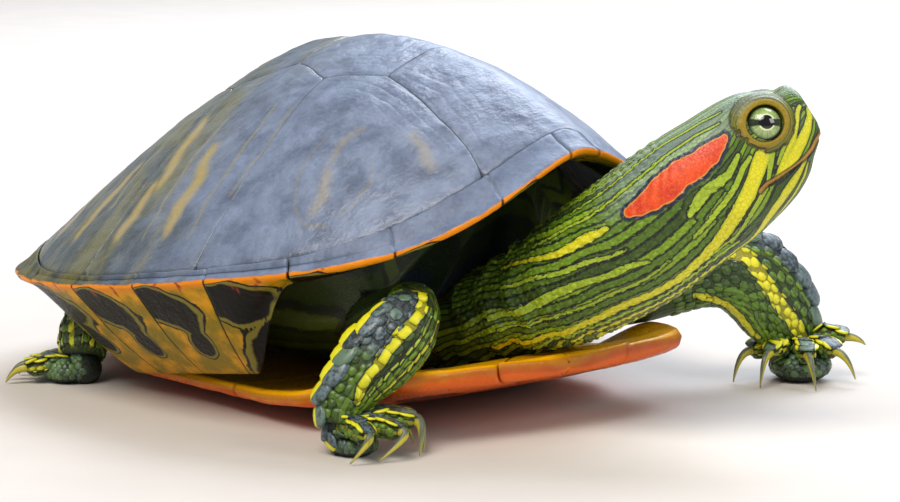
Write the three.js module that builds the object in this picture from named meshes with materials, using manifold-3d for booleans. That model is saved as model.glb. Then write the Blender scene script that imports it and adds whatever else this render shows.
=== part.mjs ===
// Red-eared slider turtle, a still life-size model: millimetres, +Z up, nose towards +X, soles on z = 0.
import * as THREE from 'three';
import { LoftGeometry } from 'three/addons/geometries/LoftGeometry.js';
import { ParametricGeometry } from 'three/addons/geometries/ParametricGeometry.js';
import { mergeVertices } from 'three/addons/utils/BufferGeometryUtils.js';
import Module from 'manifold-3d';

const wasm = await Module();
wasm.setup();

// ---- driving sizes ----
const gap = 0.3; // clearance between neighbouring pieces
const footprintShift = [-13.5, -10.1, 0]; // brings the middle of the whole turtle over the origin

// Shell, in its own frame: origin in the middle, level with the side rim.
const shellHalfLength = 70;
const shellHalfWidth = 55.3;
const outlinePower = 2.3; // 2 is an ellipse, more is squarer
const rearFlare = 0.05; // how much wider the back half is
const domeTop = 41;
const domePower = 2.34; // roundness of the slope to the front
const domeCone = 0.24; // share of the radius over which the crown rounds off before the straight slope behind
const sideRoundness = 0.31; // how far the sides are round like the front, not straight like the back
// Share of the outline's radius where the rim plates begin: narrowest over the bridge, widest behind.
const rimSeam = { front: 0.92, side: 0.96, rear: 0.885, sideStart: [10, 55], rearStart: [110, 150] };
const domeWall = 2.4;
const domeSides = 32;
const domeRings = [0, 0.3, 0.56, 0.8, 1]; // shares of the way from the crown to the rim plates
const keelHeight = 0.9;
const keelWidth = 4.5;
const rimLevel = -0.7;
const frontLift = 16.6; // the rim rises over the neck
const frontLiftAngle = 20;
const frontLiftPower = 1.65; // 2 is a bell, less has longer flanks
const rearLift = 5.7;
const rearLiftStart = 85;
const rimEdge = 1.5; // thickness of the free edge
const rimWall = 4.2; // thickness of the rim plates where they meet the dome
const bridgeStart = 54; // degrees round the rim from the nose, where the bridge joins the plastron
const bridgeEnd = 119;
const bridgeBlend = 7;
const bridgeHalfWidth = 38.8;
const bridgeFloor = -19.2;
const bridgeWall = 3;
const shellHeight = 24.2; // shell origin above the floor
const shellPitch = 8.3; // degrees, nose up

// Plastron: [x, half width] from front to back, and the levels of its lower face.
const plastronOutline = [
  [61, 6], [60.3, 12], [59.2, 20], [57.6, 28], [55, 33.8], [50, 37], [43, 37], [37, 35], [31, 38.5],
  [4, 38.5], [-22, 38.5], [-26, 31], [-36, 31.5], [-46, 28], [-54, 21.5], [-59, 15], [-62, 9]
];
const plastronFloor = [
  [61, -22.6], [52, -23.8], [44, -25], [36, -26], [20, -25.3], [0, -22.6], [-30, -18.4], [-62, -14.7]
];
const plastronWall = 3.3;
const plastronFrontWall = 4.8; // the front lobe is thicker
const plastronEdgeLift = 1.8;

// Scute seams on the dome, right-hand half mirrored to the left: [x, |y|].
const vertebralSeam = [
  [57, 15.5], [33, 12.5], [20, 17], [7, 12.5], [-8, 17.5], [-22, 12], [-34, 16.5], [-46, 7], [-60, 15]
];
const costalSeamEnds = [[23, 60], [-11, 60], [-50, 60]];
const seamFront = [75, 20.5];
const seamRear = [-75, 18.8];
const farSide = 64;

// Plastron plates from the front, each with the seam before it: its point on the midline, then at the edge.
const plastronSeams = [
  ['gulars', [80, 0], [80, 30]], ['humerals', [47, 0], [75, 34.7]], ['pectorals', [31, 0], [38, 60]],
  ['abdominals', [10, 0], [12, 42]], ['femorals', [-20, 0], [-25, 42]], ['anals', [-40, 0], [-47, 34]]
];
const analNotch = [[-58.5, 0], [-64, 7], [-64, 34]];

// Head frame: origin between the eyes, x to the nose, z to the crown.
const headPlace = [90, 19.9, 55.4];
const headYaw = 42;
const headPitch = 33;
// [x, crown, throat, half width]
const headStations = [
  [-19, 7.4, -16.6, 11.5], [-15.2, 7.5, -16.2, 11.2], [-11.4, 7.4, -15.8, 10.8], [-7.6, 7.1, -15.1, 9.9],
  [-3.8, 6.6, -14.2, 8.5], [-1, 5.9, -13.3, 7.3], [1.9, 4.9, -11.7, 6], [4, 4.3, -10.1, 4.9],
  [5.8, 4, -8.9, 3.8], [7.1, 3.3, -7.6, 2.8], [7.9, 1.8, -5.9, 1.7]
];
const headPower = 2.15;
const mouthCorner = [-6.6, -8.9];
const mouthFront = [11.5, -7.1];
const jawHinge = [-8.2, -19];
const eyeRadius = 3.7;
const eyePlace = [0, 4.7, 0]; // y is mirrored
const browPlace = [-0.7, 3.8, 0.5];
const browSize = [5.8, 3.8, 5.6];

// Neck: [x, y, z, half width, half height] from inside the shell to the back of the head.
const neckStations = [
  [34, 2, 14, 16, 8], [44.5, 3, 18.4, 16, 9.2], [54, 3.8, 23.4, 14.6, 10.3], [63, 4.6, 28.4, 13.2, 11.4],
  [72, 6.6, 34.2, 12.5, 12.2]
];

// Trunk: [x, half width, top] in the shell frame.
const trunkStations = [
  [-56, 11, 4], [-50, 22, 10], [-40, 30, 18], [-26, 35, 26.5], [-8, 36.5, 34], [10, 36.5, 36], [26, 34, 32],
  [35, 30, 26], [40, 25, 20]
];
const trunkPower = 2.2;

// Limbs: [x, y, z, half width, half thickness] along each, and the way its broad side faces.
const foreArmRight = [
  [32, -20, 16, 6.6, 5.6], [43, -24.6, 20, 5.8, 5.2], [53.4, -27.6, 23.6, 4.9, 4.6],
  [55.2, -30.4, 21.6, 6, 4.4], [54, -35, 16.6, 6.4, 4.2], [52, -39.6, 11.4, 5, 3.9],
  [51.2, -41.2, 8.6, 4.5, 3.7]
];
const foreArmLeft = [
  [34, 23, 17, 6.8, 6], [42.6, 35, 19.4, 7, 5.8], [48.6, 50.4, 22.6, 8, 5.6], [50.6, 56.6, 21.2, 9.2, 5.4],
  [52.2, 62.2, 16, 9.4, 4.9], [53, 66, 11, 7.8, 4.3], [53, 67, 8.8, 6.6, 4]
];
const hindLegRight = [
  [-34, -17, 10, 8, 5.6], [-35, -27, 11.6, 8, 5.6], [-34.4, -36, 11, 7.2, 5.4], [-31.6, -40, 8, 6, 4.8],
  [-30, -41, 5.8, 4.8, 4.2]
];
const broadSides = { foreRight: [0.76, -0.63, 0.12], foreLeft: [0.9, -0.2, 0.35], hind: [-0.3, 1, 0.3] };

// Feet: the wrist or ankle, the palm's radius, and a row for each digit from the inner one outwards:
// [way it points, reach, height of its end, way the claw points, claw reach, height of the claw's tip].
const footSizes = {
  foreRight: { palm: 4.3, thick: 3.2, heel: 4.2, digit: 1.75, claw: 1.15 },
  foreLeft: { palm: 6, thick: 4, heel: 5, digit: 1.9, claw: 1.15 },
  hind: { palm: 5, thick: 3.4, heel: 4.2, digit: 1.8, claw: 1.15 }
};
const soleDepth = 0.7; // how far the pads are pressed flat against the floor
const feet = {
  forefoot_right: {
    wrist: [51.2, -41.4, 8.2], size: footSizes.foreRight,
    digits: [
      [86, 10.2, 4.6, 60, 3.4, 0.3], [66, 12, 5.4, -12, 3.4, 0.3], [50, 11.8, 5.6, -25, 2.6, 0.3],
      [26, 10.4, 4.8, -95, 4.6, 0.3], [-8, 8.6, 4.6, -115, 3.2, 0.3]
    ]
  },
  forefoot_left: {
    wrist: [53.6, 68, 8.6], size: footSizes.foreLeft,
    digits: [
      [-104, 9.6, 5.8, -92, 4.4, 0.3], [-74, 10.4, 6.2, -68, 4.4, 0.3], [-36, 10, 6, -28, 5, 0.3],
      [0, 9.2, 6.2, 4, 4.8, 1.6], [38, 8.6, 8, 26, 3.8, 6.8]
    ]
  },
  hindfoot_right: { wrist: [-30, -41.2, 5], size: footSizes.hind, digits: fan(214, -17, 10) },
  hindfoot_left: { wrist: [-33, 42.2, 5], size: footSizes.hind, digits: fan(152, 17, 10) }
};
const hindLeftShift = [-3, -1]; // the left hind leg is the right one mirrored, and trails a little

function fan(heading, spread, reach) {
  // four hind digits spread evenly about the heading
  return [-1.5, -0.5, 0.5, 1.5].map((k) => [heading - spread * k, reach, 3, heading - spread * k, 3.8, 0.3]);
}

// Tail: [x, y, z, radius] from inside the shell to the tip, laid round to the left.
const tailStations = [
  [-46, 0, 9.6, 4.8], [-55, 0.5, 7.8, 4.2], [-62, 2.5, 5.8, 3.4], [-67.5, 8, 4.2, 2.6],
  [-69.5, 15.5, 2.9, 1.9], [-67, 22, 2, 1.2], [-62.5, 26.5, 1.5, 0.6]
];

// Facets: corners round a section, then steps along it; rings of a ball stand in for the steps.
const facets = {
  trunk: 14, neck: [14, 9], head: 16, brow: [10, 7], eye: [12, 7], tail: [8, 9], leg: [10, 7],
  palm: [8, 6], digit: [5, 2], claw: [5, 3],
  rim: { nuchal: 2, front: 8, bridge: 9, rear: 7 }
};

// ---- helpers ----
const radians = THREE.MathUtils.degToRad;
const vector = (p) => new THREE.Vector3(p[0], p[1], p[2]);

function lerpTable(table, x) {
  // straight lines between [x, value] rows whose x falls
  const i = Math.min(Math.max(table.findIndex((row) => row[0] <= x), 1), table.length - 1);
  const t = (x - table[i - 1][0]) / (table[i][0] - table[i - 1][0]);
  return THREE.MathUtils.lerp(table[i - 1][1], table[i][1], THREE.MathUtils.clamp(t, 0, 1));
}

function solidOf(geometry) {
  // a closed geometry as a solid: shared corners merged, flat triangles dropped
  const bare = geometry.index ? geometry.toNonIndexed() : geometry;
  bare.deleteAttribute('normal');
  bare.deleteAttribute('uv');
  const merged = mergeVertices(bare, 1e-4);
  const index = merged.index.array;
  const kept = [];
  for (let i = 0; i < index.length; i += 3) {
    const [a, b, c] = [index[i], index[i + 1], index[i + 2]];
    if (a !== b && b !== c && c !== a) kept.push(a, b, c);
  }
  return new wasm.Manifold(new wasm.Mesh({
    numProp: 3,
    vertProperties: new Float32Array(merged.attributes.position.array),
    triVerts: new Uint32Array(kept)
  }));
}

function largestBody(solid) {
  // the biggest separate body, so that no sliver of a cut stays
  return solid.decompose().sort((a, b) => b.volume() - a.volume())[0];
}

function geometryOf(solid) {
  const mesh = largestBody(solid).getMesh();
  const geometry = new THREE.BufferGeometry();
  geometry.setAttribute('position', new THREE.Float32BufferAttribute(mesh.vertProperties, 3));
  geometry.setIndex(new THREE.BufferAttribute(mesh.triVerts, 1));
  geometry.computeVertexNormals();
  return geometry;
}

function loft(sections) {
  return new LoftGeometry(sections, { capStart: true, capEnd: true });
}

function superPoint(angle, power) {
  // point on a unit superellipse
  const c = Math.cos(angle);
  const s = Math.sin(angle);
  return [Math.sign(c) * Math.abs(c) ** (2 / power), Math.sign(s) * Math.abs(s) ** (2 / power)];
}

function section(centre, side, up, halfWidth, above, below, power, count) {
  return Array.from({ length: count }, (_, k) => {
    const [c, s] = superPoint((k + 0.5) / count * 2 * Math.PI, power);
    const height = s * (s > 0 ? above : below);
    return centre.clone().addScaledVector(side, c * halfWidth).addScaledVector(up, height);
  });
}

function sweep(stations, faceUp, count, steps, power = 2) {
  // a tube through [x, y, z, half width, half thickness] stations whose broad side looks along faceUp
  const path = new THREE.CatmullRomCurve3(stations.map(vector));
  const sizes = new THREE.CatmullRomCurve3(stations.map((p) => new THREE.Vector3(p[3], p[4] ?? p[3], 0)));
  const sections = [];
  for (let i = 0; i <= steps; i++) {
    const t = i / steps;
    const forward = path.getTangent(t);
    const side = vector(faceUp).cross(forward).normalize();
    const up = forward.clone().cross(side);
    const size = sizes.getPoint(t);
    sections.push(section(path.getPoint(t), side, up, size.x, size.y, size.y, power, count));
  }
  return loft(sections);
}

function prism(corners, low = -70, high = 70) {
  const shape = new THREE.Shape(corners.map(([x, y]) => new THREE.Vector2(x, y)));
  const geometry = new THREE.ExtrudeGeometry(shape, { depth: high - low, bevelEnabled: false });
  return geometry.translate(0, 0, low);
}

function insetPolygon(corners, distance) {
  // moves each side inwards and meets the moved sides again; the order of the corners doesn't matter
  const anticlockwise = THREE.ShapeUtils.area(corners.map(([x, y]) => new THREE.Vector2(x, y))) > 0;
  const ring = anticlockwise ? corners : [...corners].reverse();
  return ring.map((corner, i) => {
    const before = new THREE.Vector2(...corner).sub(new THREE.Vector2(...ring.at(i - 1))).normalize();
    const next = ring[(i + 1) % ring.length];
    const after = new THREE.Vector2(...next).sub(new THREE.Vector2(...corner)).normalize();
    const bisector = new THREE.Vector2(-before.y - after.y, before.x + after.x).normalize();
    const reach = distance / Math.max(bisector.dot(new THREE.Vector2(-after.y, after.x)), 0.35);
    return [corner[0] + bisector.x * reach, corner[1] + bisector.y * reach];
  });
}

const mirrored = (corners) => corners.map(([x, y]) => [x, -y]);

// ---- model tree ----
const turtle = new THREE.Group();
turtle.position.set(...footprintShift);
const shell = new THREE.Group();
shell.position.set(0, 0, shellHeight);
shell.rotation.y = -radians(shellPitch);
const head = new THREE.Group();
head.position.fromArray(headPlace);
head.rotation.set(0, -radians(headPitch), radians(headYaw), 'ZYX');
turtle.add(shell, head);
shell.updateMatrix();
head.updateMatrix();

const finishes = {
  carapace: ['#5d6a63', 0.35], rim: ['#c98a2c', 0.4], plastron: ['#d9902e', 0.35], skin: ['#4f6236', 0.6],
  eye: ['#a9c46a', 0.1], claw: ['#8a8440', 0.4]
};

function place(name, geometry, finish, parent = turtle) {
  const [color, roughness] = finishes[finish];
  const mesh = new THREE.Mesh(geometry, new THREE.MeshStandardMaterial({ color, roughness, metalness: 0 }));
  mesh.name = name;
  parent.add(mesh);
}

// ---- shell surface ----
function outlineRadius(angle) {
  const halfWidth = shellHalfWidth * (1 - rearFlare * Math.cos(angle));
  const along = Math.abs(Math.cos(angle) / shellHalfLength) ** outlinePower;
  const across = Math.abs(Math.sin(angle) / halfWidth) ** outlinePower;
  return (along + across) ** (-1 / outlinePower);
}

function rimHeight(angle) {
  const degrees = Math.abs(THREE.MathUtils.radToDeg(angle));
  const front = frontLift * Math.exp(-((degrees / frontLiftAngle) ** frontLiftPower));
  return rimLevel + front + rearLift * THREE.MathUtils.smoothstep(degrees, rearLiftStart, 180);
}

function fallOff(angle, share) {
  // 0 at the crown to 1 at the rim: round towards the front, nearly straight towards the back
  const forward = Math.cos(angle);
  const front = Math.max(forward, 0) ** 2;
  const back = Math.max(-forward, 0) ** 2;
  const round = sideRoundness + (1 - sideRoundness) * front - sideRoundness * back;
  const straight = (Math.hypot(share, domeCone) - domeCone) / (Math.hypot(1, domeCone) - domeCone);
  return THREE.MathUtils.lerp(straight, share ** domePower, round);
}

function shellPoint(angle, share, depth = 0) {
  // a point of the carapace at this share of the outline's radius, sunk by depth
  const radius = share * (outlineRadius(angle) - depth);
  const y = radius * Math.sin(angle);
  const dome = 1 - fallOff(angle, share);
  const keel = keelHeight * Math.exp(-((y / keelWidth) ** 2)) * dome;
  const z = (domeTop - depth) * dome + rimHeight(angle) * (1 - dome) + keel;
  return new THREE.Vector3(radius * Math.cos(angle), y, z);
}

function seamShare(angle) {
  const degrees = Math.abs(THREE.MathUtils.radToDeg(angle));
  const side = THREE.MathUtils.smoothstep(degrees, ...rimSeam.sideStart);
  const rear = THREE.MathUtils.smoothstep(degrees, ...rimSeam.rearStart);
  return THREE.MathUtils.lerp(THREE.MathUtils.lerp(rimSeam.front, rimSeam.side, side), rimSeam.rear, rear);
}

function domeSolid() {
  // u runs round the shell, v from the crown down the outside, over the edge and back up the inside
  const outside = domeRings.map((share) => [share, 0]);
  const inside = domeRings.toReversed().map((share) => [share, domeWall]);
  const rings = [...outside, ...inside];
  const point = (u, v, target) => {
    const [share, depth] = rings[Math.round(v * (rings.length - 1))];
    const angle = (0.5 - (u % 1)) * 2 * Math.PI;
    target.copy(shellPoint(angle, share * seamShare(angle), depth));
  };
  return solidOf(new ParametricGeometry(point, domeSides, rings.length - 1));
}

function addScutes() {
  const dome = domeSolid();
  const cut = (name, corners) => {
    const inside = solidOf(prism(insetPolygon(corners, gap / 2)));
    place(name, geometryOf(dome.intersect(inside)), 'carapace', shell);
  };
  const seam = vertebralSeam;
  const bothSides = (half) => [...half, ...mirrored(half).reverse()];
  cut('vertebral_1', bothSides([seamFront, seam[0], seam[1]]));
  cut('vertebral_2', bothSides([seam[1], seam[2], seam[3]]));
  cut('vertebral_3', bothSides([seam[3], seam[4], seam[5]]));
  cut('vertebral_4', bothSides([seam[5], seam[6], seam[7]]));
  cut('vertebral_5', bothSides([seam[7], seam[8], seamRear]));
  const costals = [
    [seamFront, seam[0], seam[1], seam[2], costalSeamEnds[0], [80, farSide]],
    [seam[2], seam[3], seam[4], costalSeamEnds[1], costalSeamEnds[0]],
    [seam[4], seam[5], seam[6], costalSeamEnds[2], costalSeamEnds[1]],
    [seam[6], seam[7], seam[8], seamRear, [-80, farSide], costalSeamEnds[2]]
  ];
  costals.forEach((corners, i) => {
    cut(`costal_left_${i + 1}`, corners);
    cut(`costal_right_${i + 1}`, mirrored(corners));
  });
}

// ---- rim ----
function bridgeShare(angle) {
  const degrees = Math.abs(THREE.MathUtils.radToDeg(angle));
  const rise = THREE.MathUtils.smoothstep(degrees, bridgeStart - bridgeBlend, bridgeStart + bridgeBlend);
  return rise * (1 - THREE.MathUtils.smoothstep(degrees, bridgeEnd - bridgeBlend, bridgeEnd + bridgeBlend));
}

function rimSection(angle) {
  // closed loop: over the top from the dome to the edge, then back underneath
  const radius = outlineRadius(angle);
  const seam = seamShare(angle);
  const inner = shellPoint(angle, seam);
  const innerRadius = seam * radius + 2 * gap;
  const edgeHeight = rimHeight(angle);
  const middle = shellPoint(angle, (1 + seam) / 2);
  const bridge = bridgeShare(angle);
  const plainRadius = seam * radius - 2;
  const bridgeRadius = bridgeHalfWidth / Math.max(Math.abs(Math.sin(angle)), 0.5);
  const mix = (plain, joined) => THREE.MathUtils.lerp(plain, joined, bridge);
  const lowRadius = mix(plainRadius, Math.min(bridgeRadius, plainRadius));
  const lowHeight = mix(inner.z - rimWall - 0.6, bridgeFloor);
  const loop = [
    [innerRadius, inner.z],
    [Math.hypot(middle.x, middle.y), middle.z],
    [radius - 0.3, edgeHeight + rimEdge / 2],
    [radius, edgeHeight],
    [radius - 0.6, edgeHeight - rimEdge / 2],
    [
      mix(0.93 * radius, 0.6 * radius + 0.4 * lowRadius),
      mix(middle.z - 3, 0.6 * edgeHeight + 0.4 * lowHeight - 1.5)
    ],
    [lowRadius, lowHeight],
    [mix(lowRadius - 0.5, lowRadius + 0.4), lowHeight + mix(0.8, bridgeWall)],
    [mix(plainRadius, plainRadius - 0.6), inner.z - rimWall]
  ];
  return loop.map(([r, z]) => new THREE.Vector3(r * Math.cos(angle), r * Math.sin(angle), z));
}

function addRim() {
  const seamAngles = { nuchal: 2.7, bridge: 47, rear: 119 };
  const arc = (name, from, to, steps, side) => {
    const trim = 0.18; // degrees kept clear at each end
    const sections = [];
    for (let i = 0; i <= steps; i++) {
      sections.push(rimSection(radians(THREE.MathUtils.lerp(from + trim, to - trim, i / steps)) * side));
    }
    place(name, geometryOf(solidOf(loft(side > 0 ? sections : sections.reverse()))), 'rim', shell);
  };
  arc('nuchal', -seamAngles.nuchal, seamAngles.nuchal, facets.rim.nuchal, 1);
  for (const [word, side] of [['left', 1], ['right', -1]]) {
    arc(`rim_front_${word}`, seamAngles.nuchal, seamAngles.bridge, facets.rim.front, side);
    arc(`rim_bridge_${word}`, seamAngles.bridge, seamAngles.rear, facets.rim.bridge, side);
    arc(`rim_rear_${word}`, seamAngles.rear, 180, facets.rim.rear, side);
  }
}

// ---- plastron ----
function plastronThickness(x) {
  return THREE.MathUtils.lerp(plastronWall, plastronFrontWall, THREE.MathUtils.smoothstep(x, 25, 45));
}

function plastronLoft(grow = 0) {
  const last = plastronOutline.length - 1;
  const lengthen = plastronOutline.map((_, i) => (i === 0 ? grow : i === last ? -grow : 0));
  const sections = plastronOutline.map(([x, halfWidth], i) => {
    const floor = lerpTable(plastronFloor, x);
    const wall = plastronThickness(x);
    const lift = (share) => plastronEdgeLift * share ** 4;
    const loop = [];
    for (const share of [-1, -0.7, 0, 0.7, 1]) {
      const narrower = Math.abs(share) === 1 ? 0.97 : 1; // the side face leans in a little at its foot
      loop.push([share * (halfWidth + grow) * narrower, floor + lift(share) - grow]);
    }
    for (const share of [1, 0.7, 0, -0.7, -1]) {
      loop.push([share * (halfWidth + grow), floor + lift(share) + wall * (1 - 0.2 * share ** 2) + grow]);
    }
    return loop.map(([y, z]) => new THREE.Vector3(x + lengthen[i], y, z));
  });
  return loft(sections.reverse());
}

function addPlastron() {
  const plate = solidOf(plastronLoft());
  plastronSeams.forEach(([name, middle, edge], i) => {
    const next = plastronSeams[i + 1];
    const half = [middle, edge, ...(next ? [next[2], next[1]] : analNotch.toReversed())];
    const corners = [...half, ...mirrored(half.slice(1, -1)).reverse()];
    const inside = solidOf(prism(insetPolygon(corners, gap / 2)));
    place(name, geometryOf(plate.intersect(inside)), 'plastron', shell);
  });
}

// ---- trunk, neck, tail ----
function underDome() {
  // everything below the dome's inner face, faceted like the dome so that the gap stays even
  const rings = [...domeRings.map((share) => [share, 0]), [domeRings.at(-1), 1], [0, 1]];
  const point = (u, v, target) => {
    const [share, sunk] = rings[Math.round(v * (rings.length - 1))];
    const angle = (0.5 - (u % 1)) * 2 * Math.PI;
    target.copy(shellPoint(angle, share * seamShare(angle), domeWall + 2 * gap));
    if (sunk > 0) target.z = plastronFloor[0][1];
  };
  return solidOf(new ParametricGeometry(point, domeSides, rings.length - 1));
}

function trunkLoft(grow = 0) {
  const side = new THREE.Vector3(0, 1, 0);
  const up = new THREE.Vector3(0, 0, 1);
  const sections = trunkStations.map(([x, halfWidth, top], i) => {
    const floor = lerpTable(plastronFloor, x) + plastronThickness(x) + 2 * gap;
    const middle = (top + floor) / 2;
    const half = (top - floor) / 2 + grow;
    const shift = i === 0 ? -grow : i === trunkStations.length - 1 ? grow : 0;
    const centre = new THREE.Vector3(x + shift, 0, middle);
    return section(centre, side, up, halfWidth + grow, half, half, trunkPower, facets.trunk);
  });
  return loft(sections);
}

const fromShell = (geometry) => geometry.applyMatrix4(shell.matrix);
const trunkKeepOut = solidOf(fromShell(trunkLoft(gap)));
const plastronKeepOut = solidOf(fromShell(plastronLoft(3 * gap)));
const underFloor = solidOf(prism([[-200, -200], [200, -200], [200, 200], [-200, 200]], -50, 0));

function flesh(geometry) {
  return solidOf(geometry).subtract(trunkKeepOut).subtract(plastronKeepOut).subtract(underFloor);
}

function grown(stations) {
  // the same tube a gap thicker, and a gap longer at its far end
  const end = vector(stations.at(-1));
  const past = end.clone().sub(vector(stations.at(-2))).normalize().multiplyScalar(gap).add(end);
  const longer = [...stations.slice(0, -1), [...past.toArray(), ...stations.at(-1).slice(3)]];
  return longer.map(([x, y, z, ...sizes]) => [x, y, z, ...sizes.map((size) => size + gap)]);
}

function neckPath() {
  // the neck's stations, then the back of the head with a little to cut off square
  const [x, crown, throat, halfWidth] = headStations[0];
  const ring = (back) => {
    const centre = new THREE.Vector3(x - back, 0, (crown + throat) / 2).applyMatrix4(head.matrix);
    return [...centre.toArray(), halfWidth, (crown - throat) / 2];
  };
  return [...neckStations, ring(1.5), ring(-0.5)];
}

function addNeck() {
  const front = prism([[-40, -40], [40, -40], [40, 40], [-40, 40]], headStations[0][0] - gap, 60);
  const headKeepOut = solidOf(front.rotateY(Math.PI / 2).applyMatrix4(head.matrix));
  const tube = flesh(sweep(neckPath(), [0, 0, 1], ...facets.neck, headPower));
  place('neck', geometryOf(tube.subtract(headKeepOut)), 'skin');
}

function addTail() {
  place('tail', geometryOf(flesh(sweep(tailStations, [0, 0, 1], ...facets.tail))), 'skin');
}

// ---- head ----
function headLoft() {
  const side = new THREE.Vector3(0, 1, 0);
  const up = new THREE.Vector3(0, 0, 1);
  const sections = headStations.map(([x, crown, throat, halfWidth]) => {
    const half = (crown - throat) / 2;
    const centre = new THREE.Vector3(x, 0, (crown + throat) / 2);
    return section(centre, side, up, halfWidth, half, half, headPower, facets.head);
  });
  return loft(sections);
}

function ball(centre, radii, around, rings) {
  const geometry = new THREE.SphereGeometry(1, around, rings);
  return geometry.scale(...radii).translate(...centre);
}

function jawBlock(shift) {
  // everything under the mouth line and in front of the jaw hinge, pulled back by shift
  const corners = [
    [mouthCorner[0] + shift, mouthCorner[1] - shift], [mouthFront[0], mouthFront[1] - shift],
    [mouthFront[0], jawHinge[1] - 4], [jawHinge[0] + shift, jawHinge[1] - 4]
  ];
  return prism(corners.map(([x, z]) => [x, -z]), -20, 20).rotateX(-Math.PI / 2);
}

function addHead() {
  let skull = solidOf(headLoft());
  for (const side of [1, -1]) {
    const at = (p) => [p[0], p[1] * side, p[2]];
    skull = skull.add(solidOf(ball(at(browPlace), browSize, ...facets.brow)));
  }
  for (const side of [1, -1]) {
    const centre = [eyePlace[0], eyePlace[1] * side, eyePlace[2]];
    const socket = eyeRadius + gap;
    skull = skull.subtract(solidOf(ball(centre, [socket, socket, socket], ...facets.eye)));
    const eye = ball(centre, [eyeRadius, eyeRadius, eyeRadius], ...facets.eye);
    place(side > 0 ? 'eye_left' : 'eye_right', geometryOf(solidOf(eye)), 'eye', head);
  }
  place('head', geometryOf(skull.subtract(solidOf(jawBlock(0)))), 'skin', head);
  place('lower_jaw', geometryOf(skull.intersect(solidOf(jawBlock(gap)))), 'skin', head);
}

// ---- legs, feet and claws ----
function addLegs() {
  const [shiftX, shiftY] = hindLeftShift;
  const hindLegLeft = hindLegRight.map(([x, y, z, w, h]) => [x + shiftX, -y - shiftY, z, w, h]);
  const mirrorSide = ([x, y, z]) => [x, -y, z];
  const legs = {
    foreleg_right: [foreArmRight, broadSides.foreRight], foreleg_left: [foreArmLeft, broadSides.foreLeft],
    hindleg_right: [hindLegRight, mirrorSide(broadSides.hind)], hindleg_left: [hindLegLeft, broadSides.hind]
  };
  const neckKeepOut = solidOf(sweep(grown(neckPath()), [0, 0, 1], ...facets.neck, headPower));
  const keepOuts = {};
  for (const [name, [stations, broadSide]] of Object.entries(legs)) {
    const leg = flesh(sweep(stations, broadSide, ...facets.leg));
    place(name, geometryOf(leg.subtract(neckKeepOut)), 'skin');
    keepOuts[name.replace('leg', 'foot')] = solidOf(sweep(grown(stations), broadSide, ...facets.leg));
  }
  return keepOuts;
}

const level = (degrees) => new THREE.Vector3(Math.cos(radians(degrees)), Math.sin(radians(degrees)), 0);

function clawRings(root, ahead, direction, reach, tipHeight, radius) {
  // [x, y, z, radius] along a claw that leaves its digit straight ahead and curves round and down to its tip
  const bend = root.clone().addScaledVector(ahead, reach * 0.62);
  const tip = root.clone().addScaledVector(direction, reach).setZ(tipHeight);
  const curve = new THREE.QuadraticBezierCurve3(root, bend, tip);
  return [0, 0.4, 0.75, 1].map((t) => [...curve.getPoint(t), THREE.MathUtils.lerp(radius, 0.27, t ** 1.3)]);
}

function addFoot(name, { wrist, size, digits }, legKeepOut) {
  const hand = vector(wrist);
  const spread = digits.reduce((sum, row) => sum + row[0], 0) / digits.length;
  const palm = hand.clone().addScaledVector(level(spread), size.palm * 0.6).setZ(size.thick - soleDepth);
  const ankle = hand.z / 2 + 1;
  const heel = ball([hand.x, hand.y, ankle - soleDepth], [size.heel, size.heel, ankle], ...facets.palm);
  let body = solidOf(ball([...palm], [size.palm, size.palm, size.thick], ...facets.palm)).add(solidOf(heel));
  digits.forEach(([angle, reach, height, clawAngle, clawReach, tipHeight], i) => {
    const direction = level(angle);
    const root = hand.clone().addScaledVector(direction, size.palm * 0.45).setZ(hand.z * 0.6);
    const knuckle = hand.clone().addScaledVector(direction, reach * 0.66).setZ(height + 0.7);
    const end = hand.clone().addScaledVector(direction, reach).setZ(height);
    const radii = [1.2, 1.1, 0.85].map((share) => share * size.digit); // digits taper towards the claw
    const stations = [root, knuckle, end].map((point, k) => [...point, radii[k]]);
    body = body.add(solidOf(sweep(stations, [0, 0, 1], ...facets.digit)));
    const ahead = end.clone().sub(knuckle).normalize();
    const clawRoot = end.clone().addScaledVector(ahead, 3 * gap);
    const rings = clawRings(clawRoot, ahead, level(clawAngle), clawReach, tipHeight, size.claw);
    const claw = solidOf(sweep(rings, [0, 0, 1], ...facets.claw)).subtract(underFloor);
    place(`claw_${name}_${i + 1}`, geometryOf(claw), 'claw');
  });
  place(name, geometryOf(body.subtract(legKeepOut).subtract(underFloor)), 'skin');
}

addScutes();
addRim();
addPlastron();
place('trunk', geometryOf(solidOf(trunkLoft()).intersect(underDome())), 'skin', shell);
addNeck();
addTail();
addHead();
const legKeepOuts = addLegs();
for (const [name, foot] of Object.entries(feet)) addFoot(name, foot, legKeepOuts[name]);

export default turtle;
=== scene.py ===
import math
import bpy
import numpy as np
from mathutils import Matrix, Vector
from mathutils.bvhtree import BVHTree


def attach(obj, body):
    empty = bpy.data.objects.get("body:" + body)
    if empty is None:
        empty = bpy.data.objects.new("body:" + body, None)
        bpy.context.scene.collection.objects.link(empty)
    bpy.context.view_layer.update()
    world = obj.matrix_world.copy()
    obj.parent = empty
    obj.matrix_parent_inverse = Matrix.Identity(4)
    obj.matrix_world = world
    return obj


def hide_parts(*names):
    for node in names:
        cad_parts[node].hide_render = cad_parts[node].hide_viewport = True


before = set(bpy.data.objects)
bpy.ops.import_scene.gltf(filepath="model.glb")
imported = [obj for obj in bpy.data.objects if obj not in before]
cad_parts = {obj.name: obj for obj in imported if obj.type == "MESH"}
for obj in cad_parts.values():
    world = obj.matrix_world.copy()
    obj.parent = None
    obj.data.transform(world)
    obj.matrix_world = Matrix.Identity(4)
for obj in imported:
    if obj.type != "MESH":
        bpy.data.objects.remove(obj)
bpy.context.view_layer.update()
print("frame loaded:", len(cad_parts), "nodes")

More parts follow.
